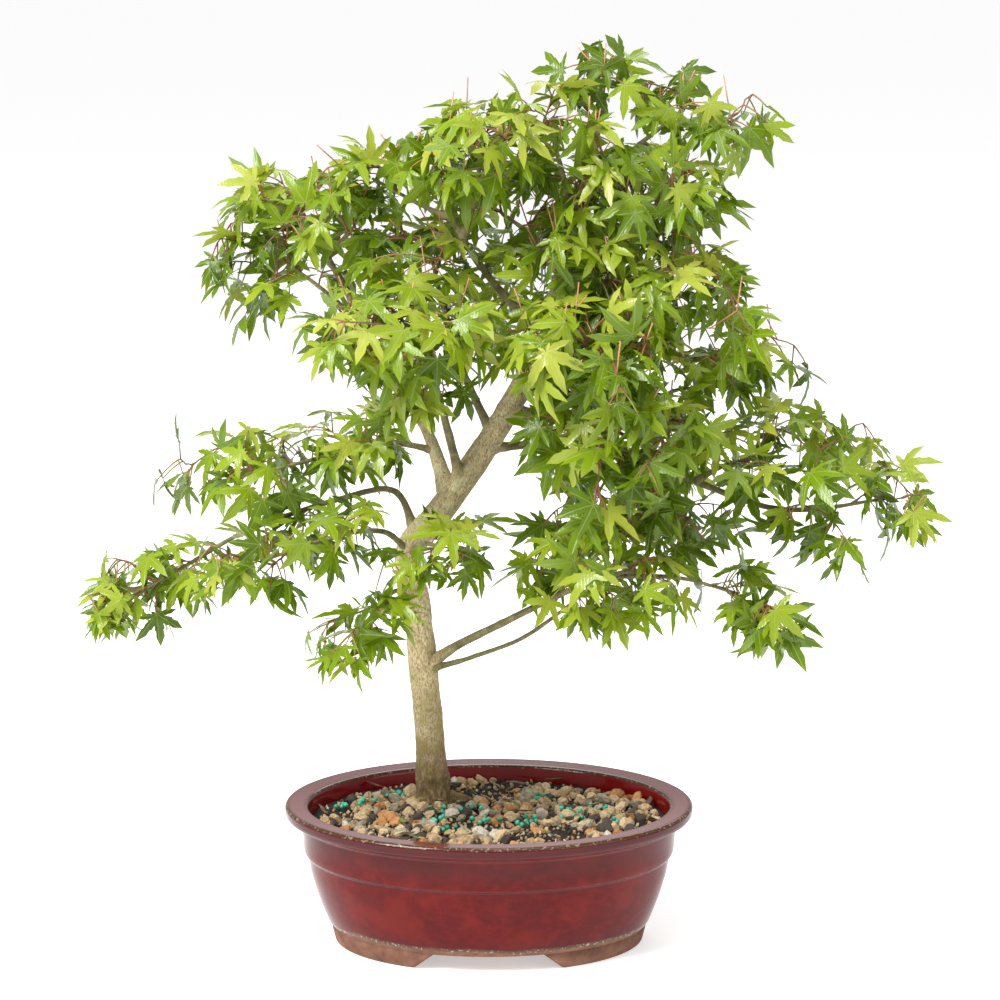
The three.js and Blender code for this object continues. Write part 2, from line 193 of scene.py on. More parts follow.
def joined(parts):
    """Points and faces of several tubes put into one list."""
    points, quads, tris, start = [], [], [], 0
    for some, (four, three) in parts:
        points.append(some)
        quads.append(four + start)
        tris.append(three + start)
        start += len(some)
    return np.vstack(points), [np.vstack(quads), np.vstack(tris)]


# %% Random numbers that vary smoothly
rng = np.random.default_rng(11)
LATTICE = rng.uniform(-1, 1, (32, 32, 32))


def wobble(points, size, octaves=1):
    """Smooth random values from -1 to 1: random numbers on a lattice of the given spacing,
    blended between its corners by 3t^2 - 2t^3, with finer and weaker layers on top."""
    total = np.zeros(np.shape(points)[:-1])
    for octave in range(octaves):
        spot = np.asarray(points) * 2**octave / size + 7.3 * octave
        cell = np.floor(spot).astype(int)
        t = spot - cell
        t = t * t * (3 - 2 * t)
        for corner in np.ndindex(2, 2, 2):
            weight = np.prod(np.where(corner, t, 1 - t), axis=-1)
            index = (cell + corner) % 32
            total += weight * LATTICE[index[..., 0], index[..., 1], index[..., 2]] / 2**octave
    return total


# %% [markdown]
# ## Nodes for the finishes
# A finish is a small tree of shader nodes. The effects that several finishes share, soft blotches,
# three-tone mottling and fine grit, are node groups with named inputs, so each finish only says how
# big and how strong its own are.

# %% Shorthands for shader nodes
def paint(red, green, blue):
    """A colour given from 0 to 255 as a paint chart would, turned into the renderer's own scale."""
    shade = np.array([red, green, blue]) / 255
    linear = np.where(shade <= 0.04045, shade / 12.92, ((shade + 0.055) / 1.055) ** 2.4)
    return (*(float(part) for part in linear), 1.0)


def node(tree, kind, inputs=None, **settings):
    """Adds a shader node. inputs are numbers, colours, or the sockets that feed them."""
    made = tree.nodes.new("ShaderNode" + kind)
    for name, value in settings.items():
        setattr(made, name, value)
    for name, value in (inputs or {}).items():
        if isinstance(value, bpy.types.NodeSocket):
            tree.links.new(value, made.inputs[name])
        else:
            made.inputs[name].default_value = value
    return made


def calculate(tree, operation, *values, clamp=False):
    """A sum, product or other operation on numbers or sockets."""
    inputs = dict(enumerate(values))
    return node(tree, "Math", inputs, operation=operation, use_clamp=clamp).outputs[0]


def blend(tree, share, under, over):
    """Colour `under` turning into colour `over` as the share goes from 0 to 1."""
    inputs = {0: share, 6: under, 7: over}
    return node(tree, "Mix", inputs, data_type="RGBA").outputs[2]


def tint(tree, mask, share, under, over):
    """Colour `under` with a share of colour `over` where the mask is 1."""
    return blend(tree, calculate(tree, "MULTIPLY", mask, share), under, over)


def fade(tree, value, nothing, all_of_it):
    """0 where a value is at or past `nothing` and 1 at `all_of_it`, eased at both ends."""
    limits = {"Value": value, "From Min": nothing, "From Max": all_of_it}
    return node(tree, "MapRange", limits, interpolation_type="SMOOTHSTEP").outputs["Result"]


def scaled(tree, share, low, high):
    """A number that goes from low to high as the share goes from 0 to 1."""
    return node(tree, "MapRange", {"Value": share, "To Min": low, "To Max": high}).outputs["Result"]


def ramp(tree, value, stops):
    """Colours at places from 0 to 1 along a value, with smooth steps between them."""
    made = node(tree, "ValToRGB", {"Fac": value})
    bar = made.color_ramp.elements
    while len(bar) < len(stops):
        bar.new(1.0)
    for element, (spot, colour) in zip(bar, stops):
        element.position = spot
        element.color = colour
    return made.outputs["Color"]


def new_group(name, inputs, outputs):
    """An empty node group with named sockets: {name: (kind, first value)} and {name: kind}."""
    tree = bpy.data.node_groups.new(name, "ShaderNodeTree")
    for label, (kind, value) in inputs.items():
        socket = tree.interface.new_socket(label, in_out="INPUT", socket_type="NodeSocket" + kind)
        if value is not None:
            socket.default_value = value
    for label, kind in outputs.items():
        tree.interface.new_socket(label, in_out="OUTPUT", socket_type="NodeSocket" + kind)
    return tree, tree.nodes.new("NodeGroupInput").outputs, tree.nodes.new("NodeGroupOutput").inputs


def use(tree, group, **inputs):
    """Places a node group in a material and returns its outputs."""
    made = node(tree, "Group", node_tree=group)
    for name, value in inputs.items():
        label = name.replace("_", " ")
        if isinstance(value, bpy.types.NodeSocket):
            tree.links.new(value, made.inputs[label])
        else:
            made.inputs[label].default_value = value
    return made.outputs


# %% Shared effects
def blotches_group():
    """Soft patches: noise, with what lies above a level turned into a mask from 0 to 1."""
    tree, given, result = new_group(
        "blotches",
        {"Vector": ("Vector", None), "Scale": ("Float", 100.0), "Detail": ("Float", 3.0),
         "Level": ("Float", 0.5), "Softness": ("Float", 0.1)},
        {"Mask": "Float"},
    )
    noise = node(tree, "TexNoise", {"Vector": given["Vector"], "Scale": given["Scale"],
                                    "Detail": given["Detail"]})
    low = calculate(tree, "SUBTRACT", given["Level"], given["Softness"])
    high = calculate(tree, "ADD", given["Level"], given["Softness"])
    tree.links.new(fade(tree, noise.outputs["Fac"], low, high), result["Mask"])
    return tree


def mottle_group():
    """Three tones: a dark one and a light one show through the middle one in soft patches."""
    tree, given, result = new_group(
        "mottle",
        {"Vector": ("Vector", None), "Scale": ("Float", 100.0), "Dark": ("Color", paint(60, 60, 60)),
         "Middle": ("Color", paint(120, 120, 120)), "Light": ("Color", paint(200, 200, 200))},
        {"Color": "Color", "Value": "Float"},
    )
    noise = node(tree, "TexNoise", {"Vector": given["Vector"], "Scale": given["Scale"],
                                    "Detail": 5.0, "Roughness": 0.6})
    value = noise.outputs["Fac"]
    darker = node(tree, "MapRange", {"Value": value, "From Min": 0.5, "From Max": 0.3})
    lighter = node(tree, "MapRange", {"Value": value, "From Min": 0.5, "From Max": 0.7})
    colour = blend(tree, darker.outputs["Result"], given["Middle"], given["Dark"])
    colour = blend(tree, lighter.outputs["Result"], colour, given["Light"])
    tree.links.new(colour, result["Color"])
    tree.links.new(value, result["Value"])
    return tree


def grit_group():
    """A surface normal roughened by noise of a given grain size and height."""
    tree, given, result = new_group(
        "grit",
        {"Vector": ("Vector", None), "Scale": ("Float", 800.0), "Strength": ("Float", 0.3),
         "Height": ("Float", 0.0005)},
        {"Normal": "Vector"},
    )
    noise = node(tree, "TexNoise", {"Vector": given["Vector"], "Scale": given["Scale"],
                                    "Detail": 4.0, "Roughness": 0.65})
    bump = node(tree, "Bump", {"Strength": given["Strength"], "Distance": given["Height"],
                               "Height": noise.outputs["Fac"]})
    tree.links.new(bump.outputs["Normal"], result["Normal"])
    return tree


BLOTCHES = blotches_group()
MOTTLE = mottle_group()
GRIT = grit_group()


def finish(name, **fixed):
    """A new material with its shader, and a socket that gives places in metres in the frame.
    fixed are numbers set on the shader's own sockets."""
    material = bpy.data.materials.new(name)
    material.use_nodes = True
    tree = material.node_tree
    shader = tree.nodes["Principled BSDF"]
    for label, value in fixed.items():
        shader.inputs[label.replace("_", " ")].default_value = value
    where = tree.nodes.new("ShaderNodeTexCoord").outputs["Object"]
    return material, tree, shader, where


def mark(tree, name):
    """The value that a mesh keeps for each of its points under a name."""
    return node(tree, "Attribute", attribute_name=name).outputs["Fac"]


def mottled(tree, where, scale, tones):
    """Mottling in a dark, a middle and a light tone."""
    dark, middle, light = (paint(*tone) for tone in tones)
    return use(tree, MOTTLE, Vector=where, Scale=scale, Dark=dark, Middle=middle, Light=light)


def roughen(tree, shader, where, scale, strength, height):
    """Grit on a finish: noise of a scale, and how strong and how high it stands."""
    grit = use(tree, GRIT, Vector=where, Scale=scale, Strength=strength, Height=height)
    tree.links.new(grit["Normal"], shader.inputs["Normal"])


def plain_finish(name, scale, tones, grit, **fixed):
    """A finish that is only mottled and gritty, as most of the small things are."""
    material, tree, shader, where = finish(name, **fixed)
    tree.links.new(mottled(tree, where, scale, tones)["Color"], shader.inputs["Base Color"])
    roughen(tree, shader, where, *grit)
    return material


print("node groups:", [group.name for group in bpy.data.node_groups])

# %% [markdown]
# ## Camera, light and table
# The plant is seen from a little above, two metres away, through a long lens. A white room with
# one large lamp high on the left and a weaker one on the right gives soft light with few shadows,
# and a wide white disc is the table.

# %% Camera
CAMERA_AWAY = 2.0
CAMERA_HEIGHT = 0.6828
CAMERA_ACROSS = 0.0071
CAMERA_DOWN = 11.23  # degrees below level
LENS = 117.3

camera = bpy.data.objects.new("camera", bpy.data.cameras.new("camera"))
camera.data.lens = LENS
camera.data.sensor_width = 36
camera.location = POT_MIDDLE + np.array([CAMERA_ACROSS, -CAMERA_AWAY, CAMERA_HEIGHT])
camera.rotation_euler = (math.radians(90 - CAMERA_DOWN), 0, 0)
bpy.context.collection.objects.link(camera)
bpy.context.scene.camera = camera
bpy.context.scene.view_settings.view_transform = "Standard"

# %% Lamps and the white room
def softbox(name, spot, aim, side, power):
    """A square lamp at a spot, turned so that it shines towards another."""
    lamp = bpy.data.objects.new(name, bpy.data.lights.new(name, "AREA"))
    lamp.data.size = side
    lamp.data.energy = power
    away = np.array(spot, float) - np.array(aim, float)
    flat = math.hypot(away[0], away[1])
    lamp.location = spot
    lamp.rotation_euler = (math.atan2(flat, away[2]), 0, math.atan2(away[1], away[0]) + math.pi / 2)
    bpy.context.collection.objects.link(lamp)


PLANT_HEART = (0, 0, 0.35)
softbox("key lamp", (-1.2, -1.1, 1.8), PLANT_HEART, 0.9, 66)
softbox("top lamp", (0.3, -0.3, 2.2), PLANT_HEART, 1.0, 18)
softbox("fill lamp", (1.6, -1.4, 1.2), PLANT_HEART, 1.4, 8)
softbox("back lamp", (0.2, 1.8, 1.8), PLANT_HEART, 1.4, 14)

room = bpy.data.worlds.new("white room")
room.use_nodes = True
room.node_tree.nodes["Background"].inputs["Color"].default_value = paint(255, 255, 255)
seen = room.node_tree.nodes.new("ShaderNodeLightPath").outputs["Is Camera Ray"]
level = room.node_tree.nodes.new("ShaderNodeMapRange")
level.inputs["To Min"].default_value = 0.58  # as a light
level.inputs["To Max"].default_value = 1.0  # as a backdrop
room.node_tree.links.new(seen, level.inputs["Value"])
room.node_tree.links.new(level.outputs["Result"], room.node_tree.nodes["Background"].inputs["Strength"])
bpy.context.scene.world = room

# %% Table
table_paint, _, table_shader, _ = finish("white table", Roughness=0.9, Specular_IOR_Level=0.1,
                                            Emission_Strength=0.44)
table_shader.inputs["Base Color"].default_value = paint(244, 244, 244)
table_shader.inputs["Emission Color"].default_value = paint(255, 255, 255)
TABLE_REACH = 20000
TABLE_SIDES = 96
around = np.linspace(0, 2 * np.pi, TABLE_SIDES, endpoint=False)
edge = TABLE_REACH * np.stack([np.cos(around), np.sin(around), 0 * around], -1)
table = make_piece("table", edge, [np.arange(TABLE_SIDES)[None, :]], table_paint)

# %% [markdown]
# ## The pot
# The pot is thrown or pressed stoneware: a wide flat rim, a ring round the wall and two long feet
# of bare clay. Its wall is a profile carried round an oval. The oval isn't an even squeeze of a
# circle, because the wall is as thick at the ends as at the sides, so the half width is the half
# length less a fixed difference. Corners of the profile are rounded by small arcs, as glaze does.

# %% The oval
OVAL_DIFFERENCE = (POT_LENGTH - POT_WIDTH) / 2
FLOOR_REACH = 80


def half_width(reach):
    """Half width of the oval whose half length is given; inside the floor it shrinks evenly."""
    inner = reach * (FLOOR_REACH - OVAL_DIFFERENCE) / FLOOR_REACH
    return np.where(reach >= FLOOR_REACH, reach - OVAL_DIFFERENCE, inner)


def round_corners(corners, steps=5):
    """A profile of [reach, height, rounding]: each corner becomes the curve that starts and ends
    one rounding away from it, b = (1-t)^2 p + 2t(1-t) q + t^2 s."""
    corners = np.array(corners, float)
    line = corners[:, :2]
    t = np.linspace(0, 1, steps)[:, None]
    pieces = [line[:1]]
    for before, corner, after, size in zip(line[:-2], line[1:-1], line[2:], corners[1:-1, 2]):
        back, on = before - corner, after - corner
        start = corner + back * min(0.45, size / np.linalg.norm(back))
        end = corner + on * min(0.45, size / np.linalg.norm(on))
        pieces.append((1 - t) ** 2 * start + 2 * t * (1 - t) * corner + t**2 * end)
    return np.vstack([*pieces, line[-1:]])


def carry_round(profile, turns):
    """Points of a profile carried round the oval: x = r cos a, y = halfwidth(r) sin a."""
    reach, height = profile[:, :1], profile[:, 1:]
    x = reach * np.cos(turns)
    y = half_width(reach) * np.sin(turns)
    return np.stack([x, y, np.broadcast_to(height, x.shape)], -1)


def closed_round(profile, around):
    """Points and faces of a profile that starts and ends on the middle line."""
    turns = np.linspace(0, 2 * np.pi, around, endpoint=False)
    rings = carry_round(profile[1:-1], turns)
    ends = np.array([[0, 0, profile[0, 1]], [0, 0, profile[-1, 1]]])
    return np.vstack([rings.reshape(-1, 3), ends]), tube_faces(len(profile) - 2, around)


# %% The wall and the feet
FOOT_HEIGHT = 11
FLOOR_TOP = 19
DRAIN_X = 48
DRAIN_RADIUS = 9
DRAIN_SIDES = 48
LIP = POT_HEIGHT - 7.5
RIM_OUT = POT_LENGTH / 2
RIM_IN = RIM_OUT - 14

wall = round_corners([
    [0, FOOT_HEIGHT, 0], [101, FOOT_HEIGHT, 0.8], [103.5, 15, 2], [109.5, 31, 8], [113.8, 46, 5],
    [115.4, 56.6, 0.9], [117.6, 58.4, 1.2], [118.3, 61.5, 1.2], [118.9, 70, 3], [119.7, 77.4, 0.8],
    [121.1, 78.8, 0.8], [121.7, LIP - 1.2, 0.8], [122.6, LIP, 0.7], [RIM_OUT - 1, LIP, 1],
    [RIM_OUT, LIP + 2.2, 1.2], [RIM_OUT, LIP + 3.6, 0.3], [RIM_OUT, POT_HEIGHT - 1.7, 1.3],
    [RIM_OUT - 1.6, POT_HEIGHT, 1.2], [RIM_OUT - 4.5, POT_HEIGHT - 0.3, 0.5],
    [RIM_IN + 3.6, POT_HEIGHT - 0.9, 0.5], [RIM_IN, POT_HEIGHT - 1.2, 1],
    [RIM_IN - 1.2, POT_HEIGHT - 3, 1.2], [113, 78, 2], [110, 60, 8], [105, 40, 8], [98, 26, 4],
    [92, 20.5, 2], [84, FLOOR_TOP, 2], [0, FLOOR_TOP, 0],
])
EDGES = [  # where the glaze runs thin: [reach, height, how wide, how strong]
    [RIM_OUT - 0.4, POT_HEIGHT - 0.4, 1.5, 1.0],
    [RIM_IN - 0.2, POT_HEIGHT - 1.5, 1.2, 1.0],
    [118.1, 59.6, 0.9, 0.22],
    [121.4, 79.3, 0.7, 0.2],
]
# Pooled glaze and painted shade: the glaze lies thick and dark on the face of the lip and in the grooves,
# and a broad band on the upper wall is painted shade under the lip.
POOLED_GLAZE_AND_SHADE = [  # where it lies thick and dark: the face of the lip, and the grooves
    [RIM_OUT, POT_HEIGHT - 4.4, 3.2, 1.0], [125, LIP, 2.2, 1.0], [122.4, LIP - 0.6, 1.4, 1.0],
    [115.6, 57.2, 1.0, 0.8], [120.4, 78.3, 1.0, 0.7], [103.5, 15.5, 3.0, 0.6],
    # painted shade on the upper wall, under the lip's overhang
    [119.2, 72, 8.0, 0.5],
]
INSIDES = [  # where it is fresh red: inside, under the rim
    [RIM_IN - 2, POT_HEIGHT - 5, 3.5, 1.0], [112, 77, 5, 1.0],
]
# Dulled glaze with a painted sheen: the flat of the rim is tinted a paler mauve, partly standing in for
# reflected light.
DULLED_RIM_AND_SHEEN = [  # where weather has dulled it: the flat of the rim
    [RIM_OUT - 4.5, POT_HEIGHT, 2.6, 1.0], [RIM_IN + 3.6, POT_HEIGHT - 0.8, 3.4, 1.0],
]


def bells(profile, places):
    """At each profile point, the highest of the bells over the distances to some places."""
    values = [
        strong * np.exp(-(np.hypot(profile[:, 0] - reach, profile[:, 1] - height) / wide) ** 2)
        for reach, height, wide, strong in places
    ]
    return np.max(values, axis=0)


AROUND_POT = 240
pot_points, pot_faces = closed_round(wall, AROUND_POT)
glaze_marks = {
    mark_name: np.append(np.repeat(bells(wall[1:-1], places), AROUND_POT), [0, 0])
    for mark_name, places in (("thin", EDGES), ("pool_and_shade", POOLED_GLAZE_AND_SHADE), ("inside", INSIDES), ("flat", DULLED_RIM_AND_SHEEN))
}
print("pot profile points:", len(wall))

ARCH_TOP = 34
ARCH_FOOT = 48
foot = round_corners([
    [84, FOOT_HEIGHT + 0.6, 0], [85, 0, 1.3], [98.4, 0, 1.5], [101.2, FOOT_HEIGHT + 0.6, 0],
], steps=6)


FOOT_STEPS = 56


def foot_points(side):
    """One C-shaped foot: its section carried round the oval between the two places where the
    arch cuts it. The arch is wider at the table: half width = top + (foot - top)(1 - z/h)^1.5."""
    reach, height = foot[:, 0], foot[:, 1]
    rise = np.clip(height / FOOT_HEIGHT, 0, 1)
    arch = ARCH_TOP + (ARCH_FOOT - ARCH_TOP) * (1 - rise) ** 1.5
    limit = np.arccos(arch / reach)
    turns = np.linspace(-1, 1, FOOT_STEPS)[:, None] * limit
    x = side * reach * np.cos(turns)
    y = half_width(reach) * np.sin(turns)
    rings = np.stack([x, y, np.broadcast_to(height, x.shape)], -1)[:, ::-side]
    ends = np.stack([rings[0].mean(axis=0), rings[-1].mean(axis=0)])
    return np.vstack([rings.reshape(-1, 3), ends])


feet = [foot_points(side) for side in (1, -1)]
foot_faces = tube_faces(FOOT_STEPS, len(foot))

# %% [markdown]
# The glaze is an oxblood red, deeper where it pools and thin over every edge, where it turns
# brown and breaks into pale specks. It stops short of the feet in an uneven line. Under the lip
# the upper wall is darkened as painted shade, and the flat of the rim is dulled to a paler mauve
# that is partly a painted sheen. The thin places are kept as a value on the mesh, and the line is a
# height with noise added.

# %% Glaze and bare clay
def glaze_finish():
    """Oxblood glaze over brown clay."""
    material, tree, shader, where = finish("oxblood glaze", Specular_IOR_Level=0.15, Coat_Roughness=0.05)
    height = node(tree, "SeparateXYZ", {"Vector": where}).outputs["Z"]
    stretched = node(tree, "Mapping", {"Vector": where, "Scale": (1.0, 1.0, 1.7)}).outputs["Vector"]
    body = mottled(tree, stretched, 150.0, ((78, 6, 6), (90, 8, 7), (103, 14, 11)))
    cloud = use(tree, BLOTCHES, Vector=stretched, Scale=22.0, Detail=4.0, Level=0.52, Softness=0.16)
    colour = tint(tree, cloud["Mask"], 0.45, body["Color"], paint(76, 10, 10))
    drips = use(tree, BLOTCHES, Vector=where, Scale=46.0, Detail=3.0, Level=0.55, Softness=0.12)
    colour = tint(tree, drips["Mask"], 0.35, colour, paint(124, 30, 16))
    colour = blend(tree, mark(tree, "inside"), colour, paint(120, 5, 10))
    # Darkest red where the glaze pools, and as painted shade on the upper wall under the lip
    colour = blend(tree, mark(tree, "pool_and_shade"), colour, paint(64, 1, 3))
    # The flat of the rim turns a paler mauve: dulled glaze, partly a painted sheen
    colour = tint(tree, mark(tree, "flat"), 0.66, colour, paint(122, 62, 58))
    specks = use(tree, BLOTCHES, Vector=where, Scale=520.0, Detail=2.0, Level=0.60, Softness=0.05)
    ragged = node(tree, "TexNoise", {"Vector": where, "Scale": 260.0, "Detail": 4.0}).outputs["Fac"]
    worn = calculate(tree, "ADD", mark(tree, "thin"), calculate(tree, "MULTIPLY_ADD", ragged, 1.1, -0.55))
    near_edge = calculate(tree, "GREATER_THAN", mark(tree, "thin"), 0.12)
    worn = calculate(tree, "MULTIPLY", fade(tree, worn, 0.36, 0.52), near_edge)
    broken = blend(tree, specks["Mask"], paint(68, 48, 32), paint(130, 114, 92))
    colour = blend(tree, worn, colour, broken)

    # The glaze line: height plus slow and fast noise, compared with a level above the feet.
    slow = node(tree, "TexNoise", {"Vector": where, "Scale": 30.0, "Detail": 4.0}).outputs["Fac"]
    line = calculate(tree, "MULTIPLY_ADD", slow, 0.0062, height)
    line = calculate(tree, "SUBTRACT", line, 0.0031)
    limits = {"Value": line, "From Min": 0.0142, "From Max": 0.0136}
    bare = node(tree, "MapRange", limits).outputs["Result"]
    crust = blend(tree, specks["Mask"], paint(96, 74, 52), paint(170, 160, 136))
    colour = blend(tree, fade(tree, line, 0.0172, 0.0142), colour, crust)
    clay = mottled(tree, where, 90.0, ((98, 68, 55), (122, 87, 70), (142, 104, 84)))
    colour = blend(tree, bare, colour, clay["Color"])
    tree.links.new(colour, shader.inputs["Base Color"])
    tree.links.new(scaled(tree, bare, 0.17, 0.85), shader.inputs["Roughness"])
    gloss = calculate(tree, "MAXIMUM", mark(tree, "pool_and_shade"), mark(tree, "inside"))
    coat = calculate(tree, "MULTIPLY_ADD", gloss, 0.28, scaled(tree, bare, 0.05, 0.0))
    coat = calculate(tree, "MULTIPLY_ADD", mark(tree, "flat"), 0.72, coat)
    tree.links.new(coat, shader.inputs["Coat Weight"])
    roughen(tree, shader, where, 120.0, 0.18, 0.0006)
    return material


GLAZE = glaze_finish()
wall_piece = make_piece("oval_pot", pot_points, pot_faces, GLAZE, marks=glaze_marks)
foot_pieces = [make_piece("foot", points, foot_faces, GLAZE) for points in feet]

# %% [markdown]
# Two drain holes go through the floor. They are bored with a Boolean modifier, as a hole cutter
# bores the leather-hard clay, and the result is kept as the mesh. The feet are joined on after.

# %% Bore the drain holes and join the feet
def bore(piece, x):
    """Cuts one round hole straight down through a piece, and keeps the cut mesh."""
    turn = np.linspace(0, 2 * np.pi, DRAIN_SIDES, endpoint=False)
    circle = np.stack([x + DRAIN_RADIUS * np.cos(turn), DRAIN_RADIUS * np.sin(turn)], -1)
    levels = [FOOT_HEIGHT - 4, FLOOR_TOP + 4]
    rings = [np.column_stack([circle, np.full(DRAIN_SIDES, level)]) for level in levels]
    ends = [[x, 0, level] for level in levels]
    cutter = make_piece("cutter", np.vstack([*rings, ends]), tube_faces(2, DRAIN_SIDES), GLAZE)
    cut = piece.modifiers.new("bore", "BOOLEAN")
    cut.object = cutter
    cut.operation = "DIFFERENCE"
    ready = piece.evaluated_get(bpy.context.evaluated_depsgraph_get())
    mesh = bpy.data.meshes.new_from_object(ready)
    piece.modifiers.clear()
    piece.data = mesh
    bpy.data.objects.remove(cutter)


for x in (-DRAIN_X, DRAIN_X):
    bore(wall_piece, x)
parts = [wall_piece, *foot_pieces]
with bpy.context.temp_override(active_object=wall_piece, selected_editable_objects=parts):
    bpy.ops.object.join()
settle(wall_piece, "pot_glaze", "pot")

# %% [markdown]
# ## Soil, netting and wire
# The soil, the squares of netting over the drain holes and the wire staples that hold them keep
# the shapes they have in the frame. They only need finishes: black grit, moulded plastic and dull
# soft metal.

# %% Finishes for the pieces that stay as they are
def wire_finish():
    """Soft aluminium wire, dulled in patches."""
    material, tree, shader, where = finish("soft wire", Metallic=1.0)
    tones = mottled(tree, where, 300.0, ((120, 118, 112), (178, 178, 180), (205, 206, 208)))
    tree.links.new(tones["Color"], shader.inputs["Base Color"])
    tree.links.new(scaled(tree, tones["Value"], 0.25, 0.6), shader.inputs["Roughness"])
    return material


SOIL_PAINT = plain_finish("damp soil", 600.0, ((16, 11, 8), (32, 23, 17), (62, 48, 38)),
                          (900.0, 0.8, 0.001), Roughness=0.95)
NETTING_PAINT = plain_finish("netting plastic", 240.0, ((18, 19, 18), (28, 29, 28), (60, 56, 48)),
                             (1500.0, 0.2, 0.0002), Roughness=0.55)
WIRE_PAINT = wire_finish()
for name, paint_used in (
    ("soil", SOIL_PAINT),
    ("drain_screen_left", NETTING_PAINT),
    ("drain_screen_right", NETTING_PAINT),
    ("screen_wire_left", WIRE_PAINT),
    ("screen_wire_right", WIRE_PAINT),
):
    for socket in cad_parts[name].material_slots:
        socket.material = paint_used

# %% [markdown]
# ## Gravel
# Broken river gravel lies a stone or two deep on black crumbs of soil, with grains of slow feed
# and scraps of old leaf between. A stone is a short closed tube shaped as a ball and then cut flat
# by a few planes at random: the distance to its surface in a direction is the least of the
# distances to the planes. Stones are laid one by one, and one that lands too near another is
# thrown again.

# %% The bed of crumbs
SOIL_LEVEL = 78.8
BED_REACH = 113.0
TRUNK_FOOT = np.array([-34.0, 24.0])


def bed_height(x, y):
    """Height of the bed: level, with a heap round the trunk that falls off as a bell."""
    away = np.hypot(x - TRUNK_FOOT[0], y - TRUNK_FOOT[1])
    return SOIL_LEVEL + 4 * np.exp(-((away / 34) ** 2)) + 0.7 * wobble(np.stack([x, y, 0 * x], -1), 30)


bed_profile = np.vstack([
    [[0, 78.3]], [[BED_REACH - 0.6, 78.3]],
    np.column_stack([np.linspace(BED_REACH, 1, 110), np.full(110, SOIL_LEVEL)]),
    [[0, SOIL_LEVEL]],
])
bed, bed_faces = closed_round(bed_profile, 220)
top = bed[:, 2] > SOIL_LEVEL - 0.1
crumbs = 1.1 * wobble(bed, 2.6, octaves=3)
bed[top, 2] = (bed_height(bed[:, 0], bed[:, 1]) + crumbs)[top]
crumb_bed = make_piece("soil_crumbs", bed, bed_faces, SOIL_PAINT)
settle(crumb_bed, "potting_soil")

# %% Balls and broken stones
def ball_rays(rings, sides):
    """Directions on a ball, ring by ring, then its two ends: the points of a short tube."""
    lift = np.linspace(-np.pi / 2, np.pi / 2, rings + 2)[1:-1, None]
    turn = np.linspace(0, 2 * np.pi, sides, endpoint=False)
    rays = np.stack([np.cos(lift) * np.cos(turn), np.cos(lift) * np.sin(turn), np.sin(lift) + 0 * turn], -1)
    return np.vstack([rays.reshape(-1, 3), [[0, 0, -1], [0, 0, 1]]])


def turned(shapes, spins):
    """Each shape (N, P, 3) turned by its own three angles, about X, then Y, then Z."""
    for axis in range(3):
        a, b = (axis + 1) % 3, (axis + 2) % 3
        cos, sin = np.cos(spins[:, axis, None]), np.sin(spins[:, axis, None])
        shapes = shapes.copy()
        first, second = shapes[..., a].copy(), shapes[..., b].copy()
        shapes[..., a] = first * cos - second * sin
        shapes[..., b] = first * sin + second * cos
    return shapes


def broken_stones(count, half_sizes, rays, planes=9):
    """Stones as (count, P, 3): reach in a direction = the softened least of d / (n . direction)
    over the planes that face it, drawn out to half sizes and turned."""
    normals = unit(rng.normal(size=(count, planes, 3)))
    offsets = rng.uniform(0.50, 1.0, (count, planes, 1))
    facing = np.maximum(normals @ rays.T, 0.06)
    reach = ((offsets / facing) ** -40).sum(axis=1) ** (-1 / 40)
    return np.minimum(reach, 1.25)[..., None] * rays * half_sizes[:, None, :]


# %% Lay the stones
def lay(count, smallest, largest, closeness, reach=110.5, tries=20000, barest=-2.0):
    """Places and sizes of round things thrown on the bed: a throw is kept if it is further from
    every kept one than a share of their two radii, clear of the trunk, and not on bare soil."""
    kept = np.empty((0, 3))
    throws = rng.uniform(-1, 1, (tries, 2))
    radii = np.sort(smallest + (largest - smallest) * rng.beta(1.6, 2.4, tries))[::-1]
    for throw, radius in zip(throws, radii):
        if len(kept) == count:
            break
        x, y = throw * (reach, half_width(reach))
        if (x / (reach - radius)) ** 2 + (y / (half_width(reach) - radius)) ** 2 > 1:
            continue
        if math.hypot(x - TRUNK_FOOT[0], y - TRUNK_FOOT[1]) < 12.5 + radius * 0.8:
            continue
        if wobble(np.array([x, y, 40.0]), 24) < barest:
            continue
        gaps = np.hypot(kept[:, 0] - x, kept[:, 1] - y)
        if len(kept) and (gaps < closeness * (kept[:, 2] + radius)).any():
            continue
        kept = np.vstack([kept, [x, y, radius]])
    return kept


def bed_of(kept, squash, sink):
    """Half sizes and middles of stones that lie on the bed on their flat sides."""
    radius = kept[:, 2:3]
    wide = radius * rng.uniform([1.0, 0.72, squash[0]], [1.28, 1.0, squash[1]], (len(kept), 3))
    level = bed_height(kept[:, 0], kept[:, 1]) + wide[:, 2] * sink
    return wide, np.column_stack([kept[:, :2], level])


def stone_points(kept, rays, squash=(0.5, 0.8), sink=0.35, lean=0.45):
    """Broken stones set down in their places: turned any way about Z and leaning a little."""
    wide, middles = bed_of(kept, squash, sink)
    shapes = broken_stones(len(kept), wide, rays)
    leans = rng.normal(0, lean, (len(kept), 2))
    spins = np.column_stack([leans, rng.uniform(0, 2 * np.pi, len(kept))])
    return turned(shapes, spins) + middles[:, None, :]


